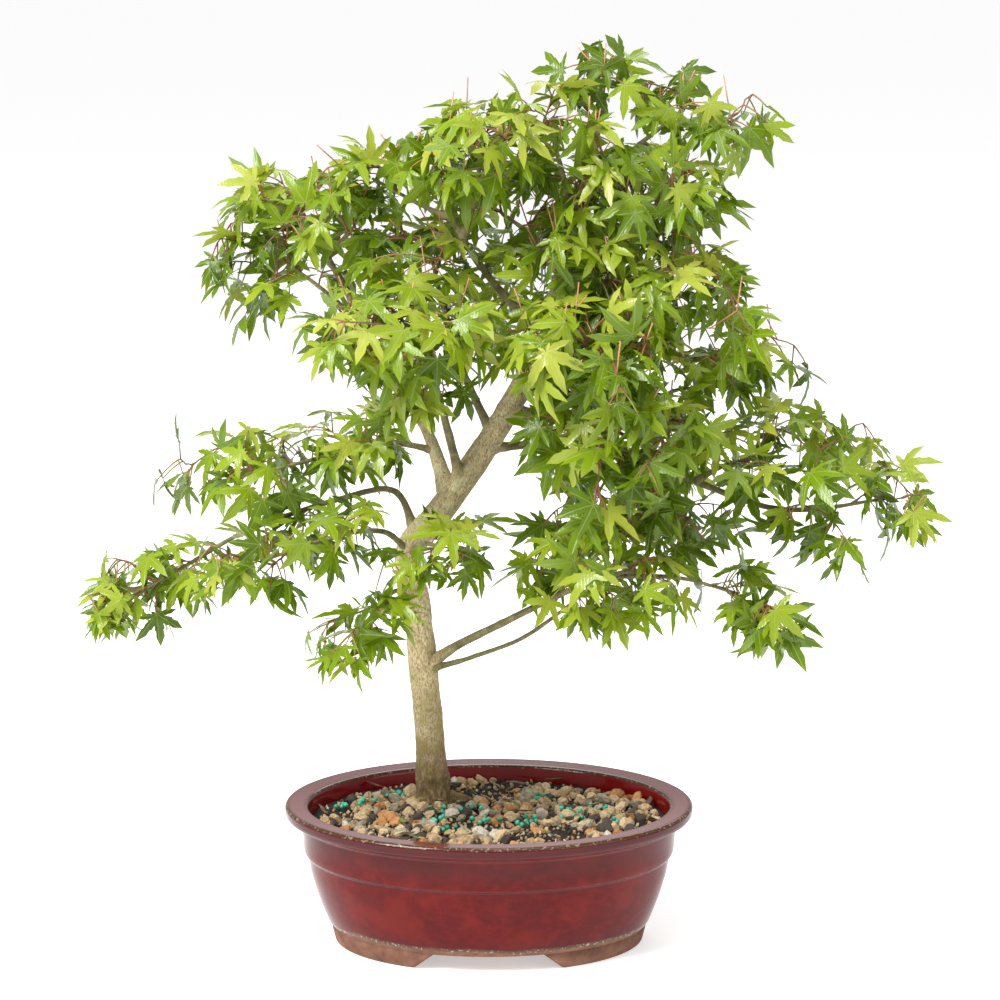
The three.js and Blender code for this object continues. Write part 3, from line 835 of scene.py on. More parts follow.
PEBBLE_SHAPE = (5, 10)  # rings and sides
GRAIN_SHAPE = (2, 5)
PEBBLE_RAYS = ball_rays(*PEBBLE_SHAPE)
GRAIN_RAYS = ball_rays(*GRAIN_SHAPE)
low_layer = lay(470, 1.5, 5.2, 0.90, barest=-0.12)
high_layer = lay(70, 2.2, 4.6, 1.6, barest=-0.05)
grit_layer = lay(1050, 0.6, 1.7, 0.95, tries=10000)
pebbles = np.concatenate([
    stone_points(low_layer, PEBBLE_RAYS),
    stone_points(high_layer, PEBBLE_RAYS, sink=1.0),
])
grains = stone_points(grit_layer, GRAIN_RAYS, sink=0.9, lean=1.0)
print("pebbles:", len(pebbles), "grains:", len(grains))

# %% [markdown]
# The stones are of five kinds of rock. Each kind is one piece with its own finish, mottled in
# three tones, and each stone has its own tone between the dark and the light one, so no two
# neighbours look quite alike.

# %% Stone finishes
def stone_finish(name, dark, middle, light):
    """Dusty broken stone: mottled, veined, and rough."""
    material, tree, shader, where = finish(name, Roughness=0.82)
    plain = blend(tree, mark(tree, "tone"), paint(*dark), paint(*light))
    fine = mottled(tree, where, 520.0, ((70, 62, 54), middle, light))
    colour = blend(tree, 0.5, plain, fine["Color"])
    dirt = use(tree, BLOTCHES, Vector=where, Scale=330.0, Detail=4.0, Level=0.62, Softness=0.08)
    colour = tint(tree, dirt["Mask"], 0.35, colour, paint(50, 40, 30))
    tree.links.new(colour, shader.inputs["Base Color"])
    roughen(tree, shader, where, 700.0, 0.55, 0.0006)
    return material


ROCKS = {  # name: (share of the stones, dark, middle and light tone)
    "tan": (0.54, (128, 102, 66), (180, 151, 107), (226, 201, 160)),
    "orange": (0.15, (142, 88, 44), (184, 124, 68), (208, 158, 104)),
    "grey": (0.20, (98, 88, 72), (142, 130, 108), (184, 172, 148)),
    "dark": (0.12, (38, 32, 28), (60, 51, 43), (90, 78, 66)),
    "pale": (0.06, (158, 144, 122), (190, 178, 158), (220, 212, 198)),
}


def split_by_share(total, shares):
    """Random numbers of kinds for the stones, in the given shares."""
    return rng.choice(len(shares), size=total, p=np.array(shares) / np.sum(shares))


shares = [rock[0] for rock in ROCKS.values()]
pebble_kind = split_by_share(len(pebbles), shares)
grain_kind = split_by_share(len(grains), shares)
for number, (name, (_, *tones)) in enumerate(ROCKS.items()):
    big, small = pebbles[pebble_kind == number], grains[grain_kind == number]
    points = np.vstack([big.reshape(-1, 3), small.reshape(-1, 3)])
    small_faces = [some + big[..., 0].size for some in tube_faces(*GRAIN_SHAPE, len(small))]
    faces = tube_faces(*PEBBLE_SHAPE, len(big)) + small_faces
    tone = np.append(np.repeat(rng.uniform(size=len(big)), big.shape[1]),
                     np.repeat(rng.uniform(size=len(small)), small.shape[1]))
    stones = make_piece(f"{name}_stones", points, faces, stone_finish(f"{name} stone", *tones),
                        smooth=False, marks={"tone": tone})
    settle(stones, "top_gravel", *(["gravel"] if name == "tan" else []))

# %% [markdown]
# The feed is small round blue-green grains that roll into clusters, and the leaf scraps are thin
# curled blades, green or brown. Both lie on the stones.

# %% Feed grains and leaf scraps
FEED_CLUSTERS = [(-96, 14), (-80, 22), (-62, 36), (-30, -4), (-33, -14), (-28, -36), (22, -22),
                 (30, -18), (48, 2), (54, -8), (66, 12), (2, -16), (86, -16), (34, 34), (-6, 6)]
FEED_EACH = 5  # grains in a cluster
FEED_SPREAD = 4.2
FEED_SHAPE = (5, 8)  # rings and sides of a grain
FEED_PAINT = plain_finish("feed coating", 120.0, ((24, 120, 96), (52, 172, 138), (96, 206, 172)),
                          (2000.0, 0.2, 0.0002), Roughness=0.45)
feed_count = FEED_EACH * len(FEED_CLUSTERS)
feed_middles = np.repeat(FEED_CLUSTERS, FEED_EACH, axis=0) + rng.normal(0, FEED_SPREAD, (feed_count, 2))
feed_top = bed_height(feed_middles[:, 0], feed_middles[:, 1]) + rng.uniform(2.4, 5.0, feed_count)
feed_balls = rng.uniform(1.3, 1.75, (feed_count, 1, 1)) * ball_rays(*FEED_SHAPE)
feed_balls = feed_balls + np.column_stack([feed_middles, feed_top])[:, None, :]
feed_faces = tube_faces(*FEED_SHAPE, feed_count)
settle(make_piece("feed_grains", feed_balls.reshape(-1, 3), feed_faces, FEED_PAINT), "top_gravel")

SCRAP_SHAPE = (7, 6)  # rows along a scrap and sides


def scraps(count, lengths):
    """Thin blades: tubes squashed flat, as wide in the middle as sin(pi t), bent up at the ends."""
    t = np.linspace(0.02, 0.98, SCRAP_SHAPE[0])
    reach = rng.uniform(*lengths, (count, 1))
    sway = 0.04 * reach * np.sin(2 * np.pi * t)
    path = np.stack([reach * (t - 0.5), sway, 0.28 * reach * (t - 0.5) ** 2], -1)
    blades = tube_points(path, 0.13 * reach * np.sin(np.pi * t), SCRAP_SHAPE[1])
    blades[..., 2] = path[..., :1, 2] + 0.16 * (blades[..., 2] - path[..., :1, 2])
    spins = np.column_stack([rng.normal(0, 0.25, (count, 2)), rng.uniform(0, 6.28, count)])
    spots = lay(count, 2, 3, 4.0)[:, :2]
    heights = bed_height(spots[:, 0], spots[:, 1]) + 4.4
    return turned(blades, spins) + np.column_stack([spots, heights])[:, None, :]


for name, count, tones in (
    ("green_scraps", 16, ((52, 64, 26), (92, 104, 44), (140, 140, 70))),
    ("brown_scraps", 22, ((44, 30, 20), (82, 58, 38), (126, 96, 64))),
):
    dry = plain_finish(name, 260.0, tones, (600.0, 0.4, 0.0004), Roughness=0.7)
    blades = scraps(count, (9, 17)).reshape(-1, 3)
    settle(make_piece(name, blades, tube_faces(*SCRAP_SHAPE, count), dry), "top_gravel")

# %% [markdown]
# ## Trunk, limbs and roots
# The tree grew as one: a trunk that rises straight, leans back to the left, bends hard over to the
# right and thins out to the tip, with limbs leaving it in tiers. Each is a tube along a smooth
# curve through points of [across, back, up, radius], and the trunk's points are worked out from the
# places where its three stretches meet. A limb's foot swells where it leaves its parent, and the
# bark is raised in long ridges by noise that is stretched along the stem.

# %% The stems
TRUNK_START, BEND, TURN_UP, TIP = [-35, 25, 60], [-50, 15, 250], [28, 15, 370], [72, 10, 553]
LEAN_BOW, TOP_BOW = [4, -6], [6, 0]  # how far two of the stretches bow, across and back
TRUNK_RADIUS, TIP_RADIUS = 9, 1
FLARE, FLARE_HEIGHT, SOIL_MEETS = 5, 16, 80  # extra radius at the soil, dying away above it


def stretch(start, end, count, bow, ease=1):
    """Points from start towards end: across and back go as share^ease, plus a bow in the middle."""
    start, end = np.array(start, float), np.array(end, float)
    share = (np.arange(count) / count)[:, None]
    flat = start[:2] + (end - start)[:2] * share**ease + np.array(bow) * np.sin(np.pi * share)
    return np.hstack([flat, start[2] + (end - start)[2] * share])


def trunk_points():
    """Three stretches and the tip. Radius = tip + (trunk - tip)(1 - share^3) + the flare."""
    line = np.vstack([
        stretch(TRUNK_START, BEND, 5, [0, 0], 1.5),
        stretch(BEND, TURN_UP, 4, LEAN_BOW),
        stretch(TURN_UP, TIP, 4, TOP_BOW),
        TIP,
    ])
    share = np.arange(len(line)) / (len(line) - 1)
    flare = FLARE * np.exp(-np.maximum(line[:, 2] - SOIL_MEETS, 0) / FLARE_HEIGHT)
    return np.column_stack([line, TIP_RADIUS + (TRUNK_RADIUS - TIP_RADIUS) * (1 - share**3) + flare])


TRUNK = trunk_points()
LIMBS = {
    # low on the right: a limb, its tip, and a thinner one under it
    "low_right": [[-40, 23, 173, 3.8], [-20, 0, 192, 2.7], [10, -28, 214, 2.2], [56, -42, 240, 1.7],
        [85, -44, 250, 1.2]],
    "low_right_tip": [[70, -43, 246, 1.4], [115, -40, 245, 1.2], [155, -28, 232, 0.9]],
    "low_right_under": [[-38, 19, 172, 2.2], [-12, -4, 185, 1.5], [24, -22, 204, 1.2], [64, -28, 236, 1]],
    # low in front of the trunk
    "low_front": [[-51, 16, 246, 2], [-42, -12, 260, 1.5], [-28, -44, 265, 1]],
    "low_hanging": [[-49, 18, 216, 1.8], [-58, -16, 231, 1.4], [-72, -55, 224, 1]],
    # the long low limb to the left and the one in front of it
    "left_low": [[-46, 14, 262, 2.6], [-60, 18, 288, 1.9], [-94, 6, 285, 1.7], [-150, -8, 268, 1.4],
        [-190, -14, 246, 1.2], [-226, -20, 225, 0.9]],
    "left_front": [[-51, 15, 250, 2.2], [-66, -12, 268, 1.6], [-94, -36, 270, 1.3],
        [-140, -44, 256, 0.9]],
    # the big limb that rises behind, to the upper left, and its two arms
    "left_upper": [[-26, 10, 290, 4.4], [-40, 32, 326, 3.5], [-60, 45, 352, 3], [-85, 52, 402, 2.4],
        [-125, 55, 470, 1.1]],
    "left_shelf": [[-33, 24, 313, 2], [-70, 26, 318, 1.6], [-110, 14, 309, 1.2], [-140, 4, 303, 0.9]],
    "left_middle": [[-77, 50, 384, 2], [-98, 58, 404, 1.5], [-120, 58, 422, 0.9]],
    # the limbs that rise in front, in the middle and to the upper left
    "front_left": [[-18, 8, 298, 3], [-27, -18, 340, 2.2], [-36, -36, 374, 1.8], [-56, -50, 400, 1]],
    "centre_left": [[4, 9, 322, 3], [-14, 17, 360, 2.1], [-28, 22, 404, 1.7], [-36, 16, 438, 1]],
    "upper_centre": [[35, 16, 388, 3], [4, 4, 421, 2.4], [-20, -2, 458, 1.9], [-34, -4, 502, 1]],
    "upper_centre_arm": [[-16, -2, 450, 1.8], [-8, -4, 475, 1.4], [-5, -6, 502, 1]],
    "upper_mid_left": [[-22, -2, 462, 1.6], [-46, 8, 472, 1.2], [-72, 20, 485, 0.9]],
    # to the right: the long low limb with its arm, then one for each shelf above it
    "right_low": [[13, 12, 340, 3.8], [46, 20, 332, 3], [102, 24, 306, 2.4], [163, 20, 281, 1.9],
        [200, 17, 276, 1.5], [245, 14, 283, 0.9]],
    "right_outer": [[130, 22, 293, 1.8], [150, 22, 304, 1.4], [176, 20, 310, 1]],
    "right_inner": [[20, 14, 354, 2.6], [48, -8, 349, 1.8], [80, -32, 334, 1]],
    "front_right": [[27, 15, 367, 2.6], [44, -18, 380, 1.8], [62, -50, 388, 1]],
    "right_shoulder": [[34, 16, 384, 2.8], [84, 8, 382, 1.9], [134, 4, 374, 0.9]],
    "middle_right": [[41, 14, 410, 2.5], [68, 0, 420, 1.7], [97, -8, 428, 1]],
    "upper_right": [[45, 12, 432, 2.5], [68, 6, 450, 1.8], [95, 0, 478, 0.9]],
    "apex_right": [[57, 10, 470, 2.2], [85, 10, 500, 1.6], [120, 10, 528, 0.9]],
    "apex_left": [[53, 10, 460, 2], [44, -8, 496, 1.4], [35, -20, 525, 0.9]],
    "centre": [[44, 12, 426, 2], [40, -4, 434, 1.5], [34, -22, 438, 1]],
    # to the back, at three heights
    "back_low": [[0, 9, 317, 3], [38, 44, 313, 2], [84, 72, 300, 1]],
    "back_middle": [[29, 16, 372, 2.7], [34, 50, 380, 1.9], [40, 84, 387, 1]],
    "back_upper": [[44, 12, 428, 2.5], [30, 42, 444, 1.8], [6, 78, 459, 1]],
}
ROOTS = [[20, 62], [95, 44], [160, 56], [215, 60], [285, 52]]  # turn in degrees, reach
KNOTS = [  # healed cuts: [across, back, up, size, height of the callus]
    [-40, 14, 168, 4.6, 1.9], [-42, 14.5, 223, 2.4, 1.9], [-33, 12, 205, 1.8, 1.2],
    [-8, 2, 312, 3.0, 1.2], [30, 9, 372, 2.4, 1.0],
]


def root_points(degrees, reach):
    """A root leaves the foot of the trunk level and dives into the soil."""
    turn = math.radians(degrees)
    shares = [(0.02, 84, 8), (0.17, 83, 5.6), (0.4, 78, 3.6), (0.75, 60, 2.4), (1, 46, 1.4)]
    way = reach * np.array([math.cos(turn), math.sin(turn)])
    return [[*(TRUNK_FOOT + way * share), height, radius] for share, height, radius in shares]


# %% Bark on the stems
def stem(points, sides, spacing, parent=0.0):
    """A barked tube. Radius = the list's own x (1 + a swelling at the foot), and then each point
    moves out by ridges: noise on (angle x radius, length / 5), plus bells at the knots."""
    points = np.asarray(points, float)
    reach = np.linalg.norm(np.diff(points[:, :3], axis=0), axis=1).sum()
    rows = max(8, int(reach / spacing))
    line = smooth_path(points, rows)
    path, radius = line[:, :3], line[:, 3]
    gone = np.append(0, np.cumsum(np.linalg.norm(np.diff(path, axis=0), axis=1)))
    if parent:
        radius = radius * (1 + 0.55 * np.exp(-np.maximum(gone - parent, 0) / (1.6 * radius[0])))
    radius = radius * (1 + 0.05 * wobble(np.column_stack([gone, gone * 0, radius * 9]), 14))
    tube = tube_points(path, radius, sides)
    rings = tube[:-2].reshape(rows, sides, 3)
    out = unit(rings - path[:, None, :])
    turn = np.linspace(0, 2 * np.pi, sides, endpoint=False)
    around = np.stack(np.broadcast_arrays(
        radius[:, None] * np.cos(turn), radius[:, None] * np.sin(turn), gone[:, None] / 5 + 40,
    ), -1)
    ridges = np.abs(wobble(around, 2.6, octaves=2))
    lumps = wobble(rings, 11)
    depth = 0.045 * radius + 0.12
    push = depth[:, None] * (0.9 - 2.2 * ridges) + 0.05 * radius[:, None] * lumps
    for x, y, z, size, height in KNOTS:
        away = np.linalg.norm(rings - [x, y, z], axis=-1) / size
        push = push + height * (np.exp(-(away**2)) - 0.75 * np.exp(-((away * 2.4) ** 2)))
    tube[:-2] = (rings + push[..., None] * out).reshape(-1, 3)
    grown = np.append(np.repeat(radius, sides), [radius[0], radius[-1]])
    return tube, tube_faces(rows, sides), grown


stems = [stem(TRUNK, 64, 0.9)]
for points in LIMBS.values():
    thick = max(row[3] for row in points)
    stems.append(stem(points, 20 if thick > 3 else 12, 1.5, parent=3.0 + thick))
for degrees, reach in ROOTS:
    stems.append(stem(root_points(degrees, reach), 20, 1.5))
wood_points, wood_faces = joined([(tube, faces) for tube, faces, _ in stems])
wood_marks = {"girth": np.concatenate([grown for _, _, grown in stems])}
print("stems:", len(stems), "points:", len(wood_points))

# %% [markdown]
# Bark changes with age. On the thick trunk it is tan-grey with fine dark cracks along the stem and
# a green bloom of algae low down and on the upper side of the leaning part; it is redder and
# darker at the soil, and smooth and olive on young limbs. How thick the stem is at each point is
# kept on the mesh, so the finish can follow it.

# %% Bark finish
def bark_finish():
    """Tan-grey cracked bark, olive on thin limbs, with algae and pale lichen."""
    material, tree, shader, where = finish("maple bark", Roughness=0.88)
    height = node(tree, "SeparateXYZ", {"Vector": where}).outputs["Z"]
    drawn = node(tree, "Mapping", {"Vector": where, "Scale": (1.0, 1.0, 0.45)}).outputs["Vector"]
    tone = mottled(tree, drawn, 950.0, ((136, 116, 76), (204, 186, 140), (234, 220, 184)))
    broad = use(tree, BLOTCHES, Vector=where, Scale=60.0, Detail=3.0, Level=0.5, Softness=0.12)
    colour = tint(tree, broad["Mask"], 0.35, tone["Color"], paint(150, 128, 92))
    cracks = use(tree, BLOTCHES, Vector=drawn, Scale=1100.0, Detail=4.0, Level=0.57, Softness=0.05)
    colour = tint(tree, cracks["Mask"], 0.48, colour, paint(92, 74, 50))
    algae = use(tree, BLOTCHES, Vector=where, Scale=85.0, Detail=4.0, Level=0.52, Softness=0.1)
    low = calculate(tree, "MULTIPLY", fade(tree, height, 0.2, 0.11), 0.75)
    colour = tint(tree, algae["Mask"], low, colour, paint(160, 150, 84))
    lichen = use(tree, BLOTCHES, Vector=where, Scale=150.0, Detail=5.0, Level=0.55, Softness=0.07)
    lean = calculate(tree, "MULTIPLY", fade(tree, height, 0.24, 0.28), 0.5)
    colour = tint(tree, lichen["Mask"], lean, colour, paint(196, 194, 156))
    stained = mottled(tree, drawn, 420.0, ((52, 36, 22), (106, 78, 46), (170, 146, 104)))
    colour = tint(tree, fade(tree, height, 0.134, 0.094), 0.85, colour, stained["Color"])
    olive = mottled(tree, where, 180.0, ((62, 58, 34), (102, 98, 56), (138, 136, 90)))
    young = fade(tree, mark(tree, "girth"), 4.6, 2.4)
    colour = tint(tree, young, 0.85, colour, olive["Color"])
    tree.links.new(colour, shader.inputs["Base Color"])
    roughen(tree, shader, drawn, 620.0, 0.95, 0.0012)
    return material


BARK = bark_finish()
wood = make_piece("trunk_and_limbs", wood_points, wood_faces, BARK, marks=wood_marks)
settle(wood, "bark", "trunk_and_branches")

# %% [markdown]
# ## Twigs
# From the limbs, fine reddish twigs carry the leaves out to the outside of each leafy group. Each
# group's box in the frame says where it is, and points are spread evenly over the ball that fits
# it. Each point is then joined to whatever is nearest, limb or earlier twig, as a growing tree
# does, and a twig grows thicker by the number of twigs that it ends up carrying.

# %% Where the leafy groups are
GROUPS = sorted(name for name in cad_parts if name.startswith("foliage_"))
boxes = {name: [pot_frame(corner) for corner in corners_of(name)] for name in GROUPS}
middles = {name: (low + high) / 2 for name, (low, high) in boxes.items()}
halves = {name: (high - low) / 2 for name, (low, high) in boxes.items()}
INSET = np.array([22.0, 24.0, 10.0])  # how far the twig ends keep inside a group, mm
SPACING = 43.0  # between the ends of neighbouring twigs, mm
CROWN_MIDDLE = np.mean([middles[name] for name in GROUPS], axis=0)
FAR_OUT = 90.0  # groups further out than this send two twigs past their rim, and thin out, mm
THIN_OVER = 110.0  # they get thinner over this distance, mm
THINNED_BY = 0.58  # the share of the twigs that the furthest ones lack
LEANING_SIDE = 60.0  # groups past this x hang, if they are shelves between these heights, mm
SHELVES = (290.0, 350.0)
TWIG_MARGIN = 6.0  # how far all twig ends keep inside the box of the solids, mm
room_low, room_high = pot_frame(cad_box[0]), pot_frame(cad_box[1])


def even_rays(count, turn):
    """Directions spread evenly over a ball: equal steps of height, each a golden angle on."""
    step = (np.arange(count) + 0.5) / count
    lift = 1 - 2 * step
    angle = turn + np.arange(count) * np.pi * (3 - np.sqrt(5))
    return np.stack([np.sqrt(1 - lift**2) * np.cos(angle), np.sqrt(1 - lift**2) * np.sin(angle), lift], -1)


def twig_ends(name, number):
    """Points near the outside of a group, a set distance apart, with a few further in, and fewer
    of them in the groups far out."""
    half = np.maximum(halves[name] - INSET, 0.3 * halves[name])
    area = 4 * np.pi * ((half[0] * half[1]) ** 1.6 / 3 + (half[0] * half[2]) ** 1.6 / 3
                        + (half[1] * half[2]) ** 1.6 / 3) ** (1 / 1.6)
    away = np.hypot(*(middles[name] - CROWN_MIDDLE)[:2])
    thinned = 1 - THINNED_BY * np.clip((away - FAR_OUT) / THIN_OVER, 0, 1)
    count = max(3, round(thinned * area / SPACING**2 * 2.1))
    depth = rng.choice([1.0, 0.55], size=(count, 1), p=[0.76, 0.24])
    return middles[name] + half * even_rays(count, number) * depth * rng.uniform(0.85, 1.05, (count, 1))


def past_rim(name):
    """Ends of the twigs that reach past a group's rim: on the side away from the middle of the
    crown, give or take 60 degrees, and mostly low. Groups far out have two of them."""
    away = middles[name] - CROWN_MIDDLE
    count = 1 + int(np.hypot(away[0], away[1]) > FAR_OUT)
    turn = np.arctan2(away[1], away[0]) + rng.uniform(-1.05, 1.05, count)
    rim = unit(np.stack([np.cos(turn), np.sin(turn), rng.uniform(-0.8, 0.3, count)], -1))
    return middles[name] + halves[name] * rim * rng.uniform(1.0, 1.25, (count, 1))


def under(name):
    """Ends of the twigs that hang below a shelf, on the side that the tree leans to."""
    hangs = middles[name][0] > LEANING_SIDE and SHELVES[0] < middles[name][2] < SHELVES[1]
    return middles[name] + halves[name] * rng.uniform([-0.9, -0.8, -1.7], [0.8, 0.5, -1.0], (5 * hangs, 3))


grouped = [twig_ends(name, number) for number, name in enumerate(GROUPS)]
sprays = [np.vstack([past_rim(name), under(name)]) for name in GROUPS]
counts = [len(some) for some in grouped + sprays]
group_of_end = np.repeat(np.tile(np.arange(len(GROUPS)), 2), counts)
kinds = np.repeat(np.repeat(["grouped", "spray"], len(GROUPS)), counts)
ends = np.clip(np.vstack(grouped + sprays), room_low + TWIG_MARGIN, room_high - TWIG_MARGIN)
print("twigs:", len(ends))

# %% Grow the twigs
BENDS = 9  # points along each twig
TWIG_SIDES = 6
BARE_TRUNK = 5  # twigs leave the trunk from this one of its points on


def grow(ends):
    """Joins each end to the cheapest point already grown: cost = distance, plus what it costs to
    turn back on the parent. Each twig is a cubic that leaves along its parent and rises a little."""
    limb_lines = [smooth_path(points, 14) for points in [TRUNK[BARE_TRUNK:], *LIMBS.values()]]
    spots = np.vstack([line[2:, :3] for line in limb_lines])
    ways = np.vstack([unit(np.gradient(line[:, :3], axis=0))[2:] for line in limb_lines])
    thick = np.concatenate([line[2:, 3] for line in limb_lines])
    owner = np.full(len(spots), -1)
    nearest = np.array([np.linalg.norm(spots - end, axis=1).min() for end in ends])
    twigs, parents, order = [], [], np.argsort(nearest)
    for number, end in enumerate(ends[order]):
        out = end - spots
        away = np.linalg.norm(out, axis=1)
        turn_back = 1 - (out * ways).sum(axis=1) / np.maximum(away, 1)
        cost = away * (1 + 0.45 * turn_back) + 3.0 * thick + np.where(away < 12, 60, 0)
        best = int(np.argmin(cost))
        start, reach = spots[best], away[best]
        t = np.linspace(0, 1, BENDS)[:, None]
        lead = start + ways[best] * 0.30 * reach + [0, 0, 0.05 * reach]
        close = end - unit(end - start) * 0.30 * reach + [0, 0, 0.10 * reach]
        path = (1 - t) ** 3 * start + 3 * t * (1 - t) ** 2 * lead + 3 * t**2 * (1 - t) * close + t**3 * end
        path[1:-1] += rng.normal(0, 0.016 * reach, (BENDS - 2, 3))
        twigs.append(path)
        parents.append(owner[best])
        spots = np.vstack([spots, path[3:]])
        ways = np.vstack([ways, unit(np.gradient(path, axis=0))[3:]])
        thick = np.append(thick, np.full(BENDS - 3, 0.8))
        owner = np.append(owner, np.full(BENDS - 3, number))
    carried = np.zeros(len(twigs))
    for number in range(len(twigs) - 1, -1, -1):
        if parents[number] >= 0:
            carried[parents[number]] += carried[number] + 1
    return np.array(twigs), carried, order


twigs, carried, order = grow(ends)
twig_group = group_of_end[order]
twig_kind = kinds[order]
thick_end = 0.42 + 0 * carried
thick_start = np.minimum(0.55 + 0.30 * np.sqrt(carried), 1.7)
taper = np.linspace(0, 1, BENDS)
twig_radius = thick_start[:, None] * (1 - taper) + thick_end[:, None] * taper
twig_radius *= 1 + 0.12 * (np.arange(BENDS) % 3 == 0)  # a swelling at each joint
twig_points = tube_points(twigs, twig_radius, TWIG_SIDES)
print("longest twig, mm:", np.linalg.norm(twigs[:, -1] - twigs[:, 0], axis=1).max().round(1))

# %% [markdown]
# The upper groups were pruned, so short straight stubs stand up between their leaves. Each leaves
# a twig near its end and points up, give or take a little.

# %% Pruned stubs
STUBS = 190
STUBS_OVER = 330.0  # they stand only on twigs that end higher than this, mm
STUB_SHAPE = (3, 5)  # rows and sides
carriers = rng.choice(np.flatnonzero(twigs[:, -1, 2] > STUBS_OVER), STUBS)
stub_foot = twigs[carriers, rng.integers(5, BENDS, STUBS)]
stub_way = unit(rng.normal(0, 0.38, (STUBS, 3)) + [0, 0, 1])
stub_reach = rng.uniform(10, 30, (STUBS, 1, 1))
stub_rows = np.linspace(0, 1, STUB_SHAPE[0])[:, None]
stubs = stub_foot[:, None, :] + stub_rows * stub_reach * stub_way[:, None, :]
from_middle = np.abs(stubs[:, -1] - (room_low + room_high) / 2)
stubs = stubs[np.all(from_middle < (room_high - room_low) / 2 - 2, axis=1)]
stub_radius = rng.uniform(0.36, 0.5, (len(stubs), 1)) * np.ones(STUB_SHAPE[0])
stub_points = tube_points(stubs, stub_radius, STUB_SHAPE[1], dome=0.15)
print("stubs:", len(stubs))

# %% [markdown]
# ## Leaves
# A maple leaf has five long toothed lobes and two short ones at its base, which spread from the
# end of the stalk like fingers. The shape is worked out for all leaves at once: each lobe has a
# direction, a length and rows of points either side of its rib, and each leaf has its own lengths,
# spread, fold and droop, so no two are the same.

# %% The outline of a leaf
RIB_TURN = 47  # degrees from rib to rib
LOBE_TURN = np.radians(RIB_TURN * np.arange(-3, 4))
LOBE_REACH = np.array([0.20, 0.60, 0.90, 1.0, 0.90, 0.60, 0.20])
ROWS = np.array([[0.44, 0.142], [0.49, 0.106], [0.68, 0.120]])  # [share of the length, half width]
RIB_ROWS = np.array([0.26, 0.44, 0.50, 0.66, 1.0])  # two teeth a side, out, in and out, then the tip
SMALL_ROWS = np.zeros((0, 2))
SMALL_RIB = np.array([0.5, 1.0])


def lobe_points(turn, reach, ribs, rows):
    """Rib points = length x share along the lobe; edge points the same, plus or minus a width."""
    along = np.stack([np.sin(turn), np.cos(turn)], -1)[:, None, :] * reach[:, None, None]
    across = np.stack([np.cos(turn), -np.sin(turn)], -1)[:, None, :] * reach[:, None, None]
    rib = ribs[:, None] * along
    left = rows[:, :1] * along - rows[:, 1:] * across
    right = rows[:, :1] * along + rows[:, 1:] * across
    return [rib, left, right]


def leaf_outlines(count):
    """Flat leaves (count, points, 2) of reach about 1, with their stalk end at zero."""
    turns = LOBE_TURN * rng.uniform(0.86, 1.1, (count, 1)) + rng.normal(0, 0.06, (count, 7))
    reaches = LOBE_REACH * (1 + rng.normal(0, 0.06, (count, 7)))
    between = (turns[:, 1:] + turns[:, :-1]) / 2
    depth = 0.34 * np.minimum(reaches[:, 1:], reaches[:, :-1])
    depth[:, [0, -1]] *= 1.9
    notch = depth[..., None] * np.stack([np.sin(between), np.cos(between)], -1)
    outer = turns[:, [0, -1]] + [-0.4, 0.4]
    heel = 0.10 * np.stack([np.sin(outer), np.cos(outer)], -1)
    parts = [np.zeros((count, 1, 2)), heel[:, :1], notch, heel[:, 1:]]
    for lobe in range(7):
        small = lobe in (0, 6)
        parts += lobe_points(turns[:, lobe], reaches[:, lobe], SMALL_RIB if small else RIB_ROWS,
                             SMALL_ROWS if small else ROWS)
    return np.concatenate(parts, axis=1)


def leaf_faces():
    """The faces of one leaf. Each side of a lobe is a fan at the stalk, a strip between the rib
    and the edge, and a triangle at the tip."""
    quads, tris, start = [], [], 9
    for lobe in range(7):
        ribs, rows = (len(SMALL_RIB), len(SMALL_ROWS)) if lobe in (0, 6) else (len(RIB_ROWS), len(ROWS))
        rib = start + np.arange(ribs)
        left = np.append(1 + lobe, start + ribs + np.arange(rows))
        right = np.append(2 + lobe, start + ribs + rows + np.arange(rows))
        tris += [[0, rib[0], left[0]], [0, right[0], rib[0]]]
        tris += [[left[-1], rib[-2], rib[-1]], [right[-1], rib[-1], rib[-2]]]
        for i in range(rows):
            quads += [[left[i], rib[i], rib[i + 1], left[i + 1]]]
            quads += [[rib[i], right[i], right[i + 1], rib[i + 1]]]
        start += ribs + 2 * rows
    return np.array(quads), np.array(tris)


LEAF_QUADS, LEAF_TRIS = leaf_faces()
print("faces in a leaf:", len(LEAF_QUADS) + len(LEAF_TRIS), "points:", leaf_outlines(1).shape[1])

# %% [markdown]
# Leaves stand in opposite pairs at the joints of a twig, each pair turned across the one before,
# on thin red-green stalks. The blade hangs from the stalk's end: its face turns up and outwards to
# the light and its middle lobe points out and down.

# %% Stalks and the set of the leaves
def sprout(twigs, group, kind):
    """Joints along each twig and the two directions of the pair there."""
    shares = np.array([1.0, 0.84, 0.62, 0.42])
    chances = np.array([0.96, 0.66, 0.5, 0.28])
    pieces = []
    for number, (share, chance) in enumerate(zip(shares, chances)):
        spot = share * (BENDS - 1)
        low = min(int(spot), BENDS - 2)
        joint = twigs[:, low] + (spot - low) * (twigs[:, low + 1] - twigs[:, low])
        along = unit(twigs[:, low + 1] - twigs[:, low])
        side = unit(np.cross(along, [0, 0, 1]))
        if number % 2:
            side = unit(np.cross(along, side) * [1, 1, 0.4])
        for sign in (-1, 1):
            kept = rng.uniform(size=len(twigs)) < chance
            pieces.append((joint[kept], along[kept], sign * side[kept], group[kept],
                           np.full(kept.sum(), share), kind[kept]))
    return [np.concatenate(part) for part in zip(*pieces)]


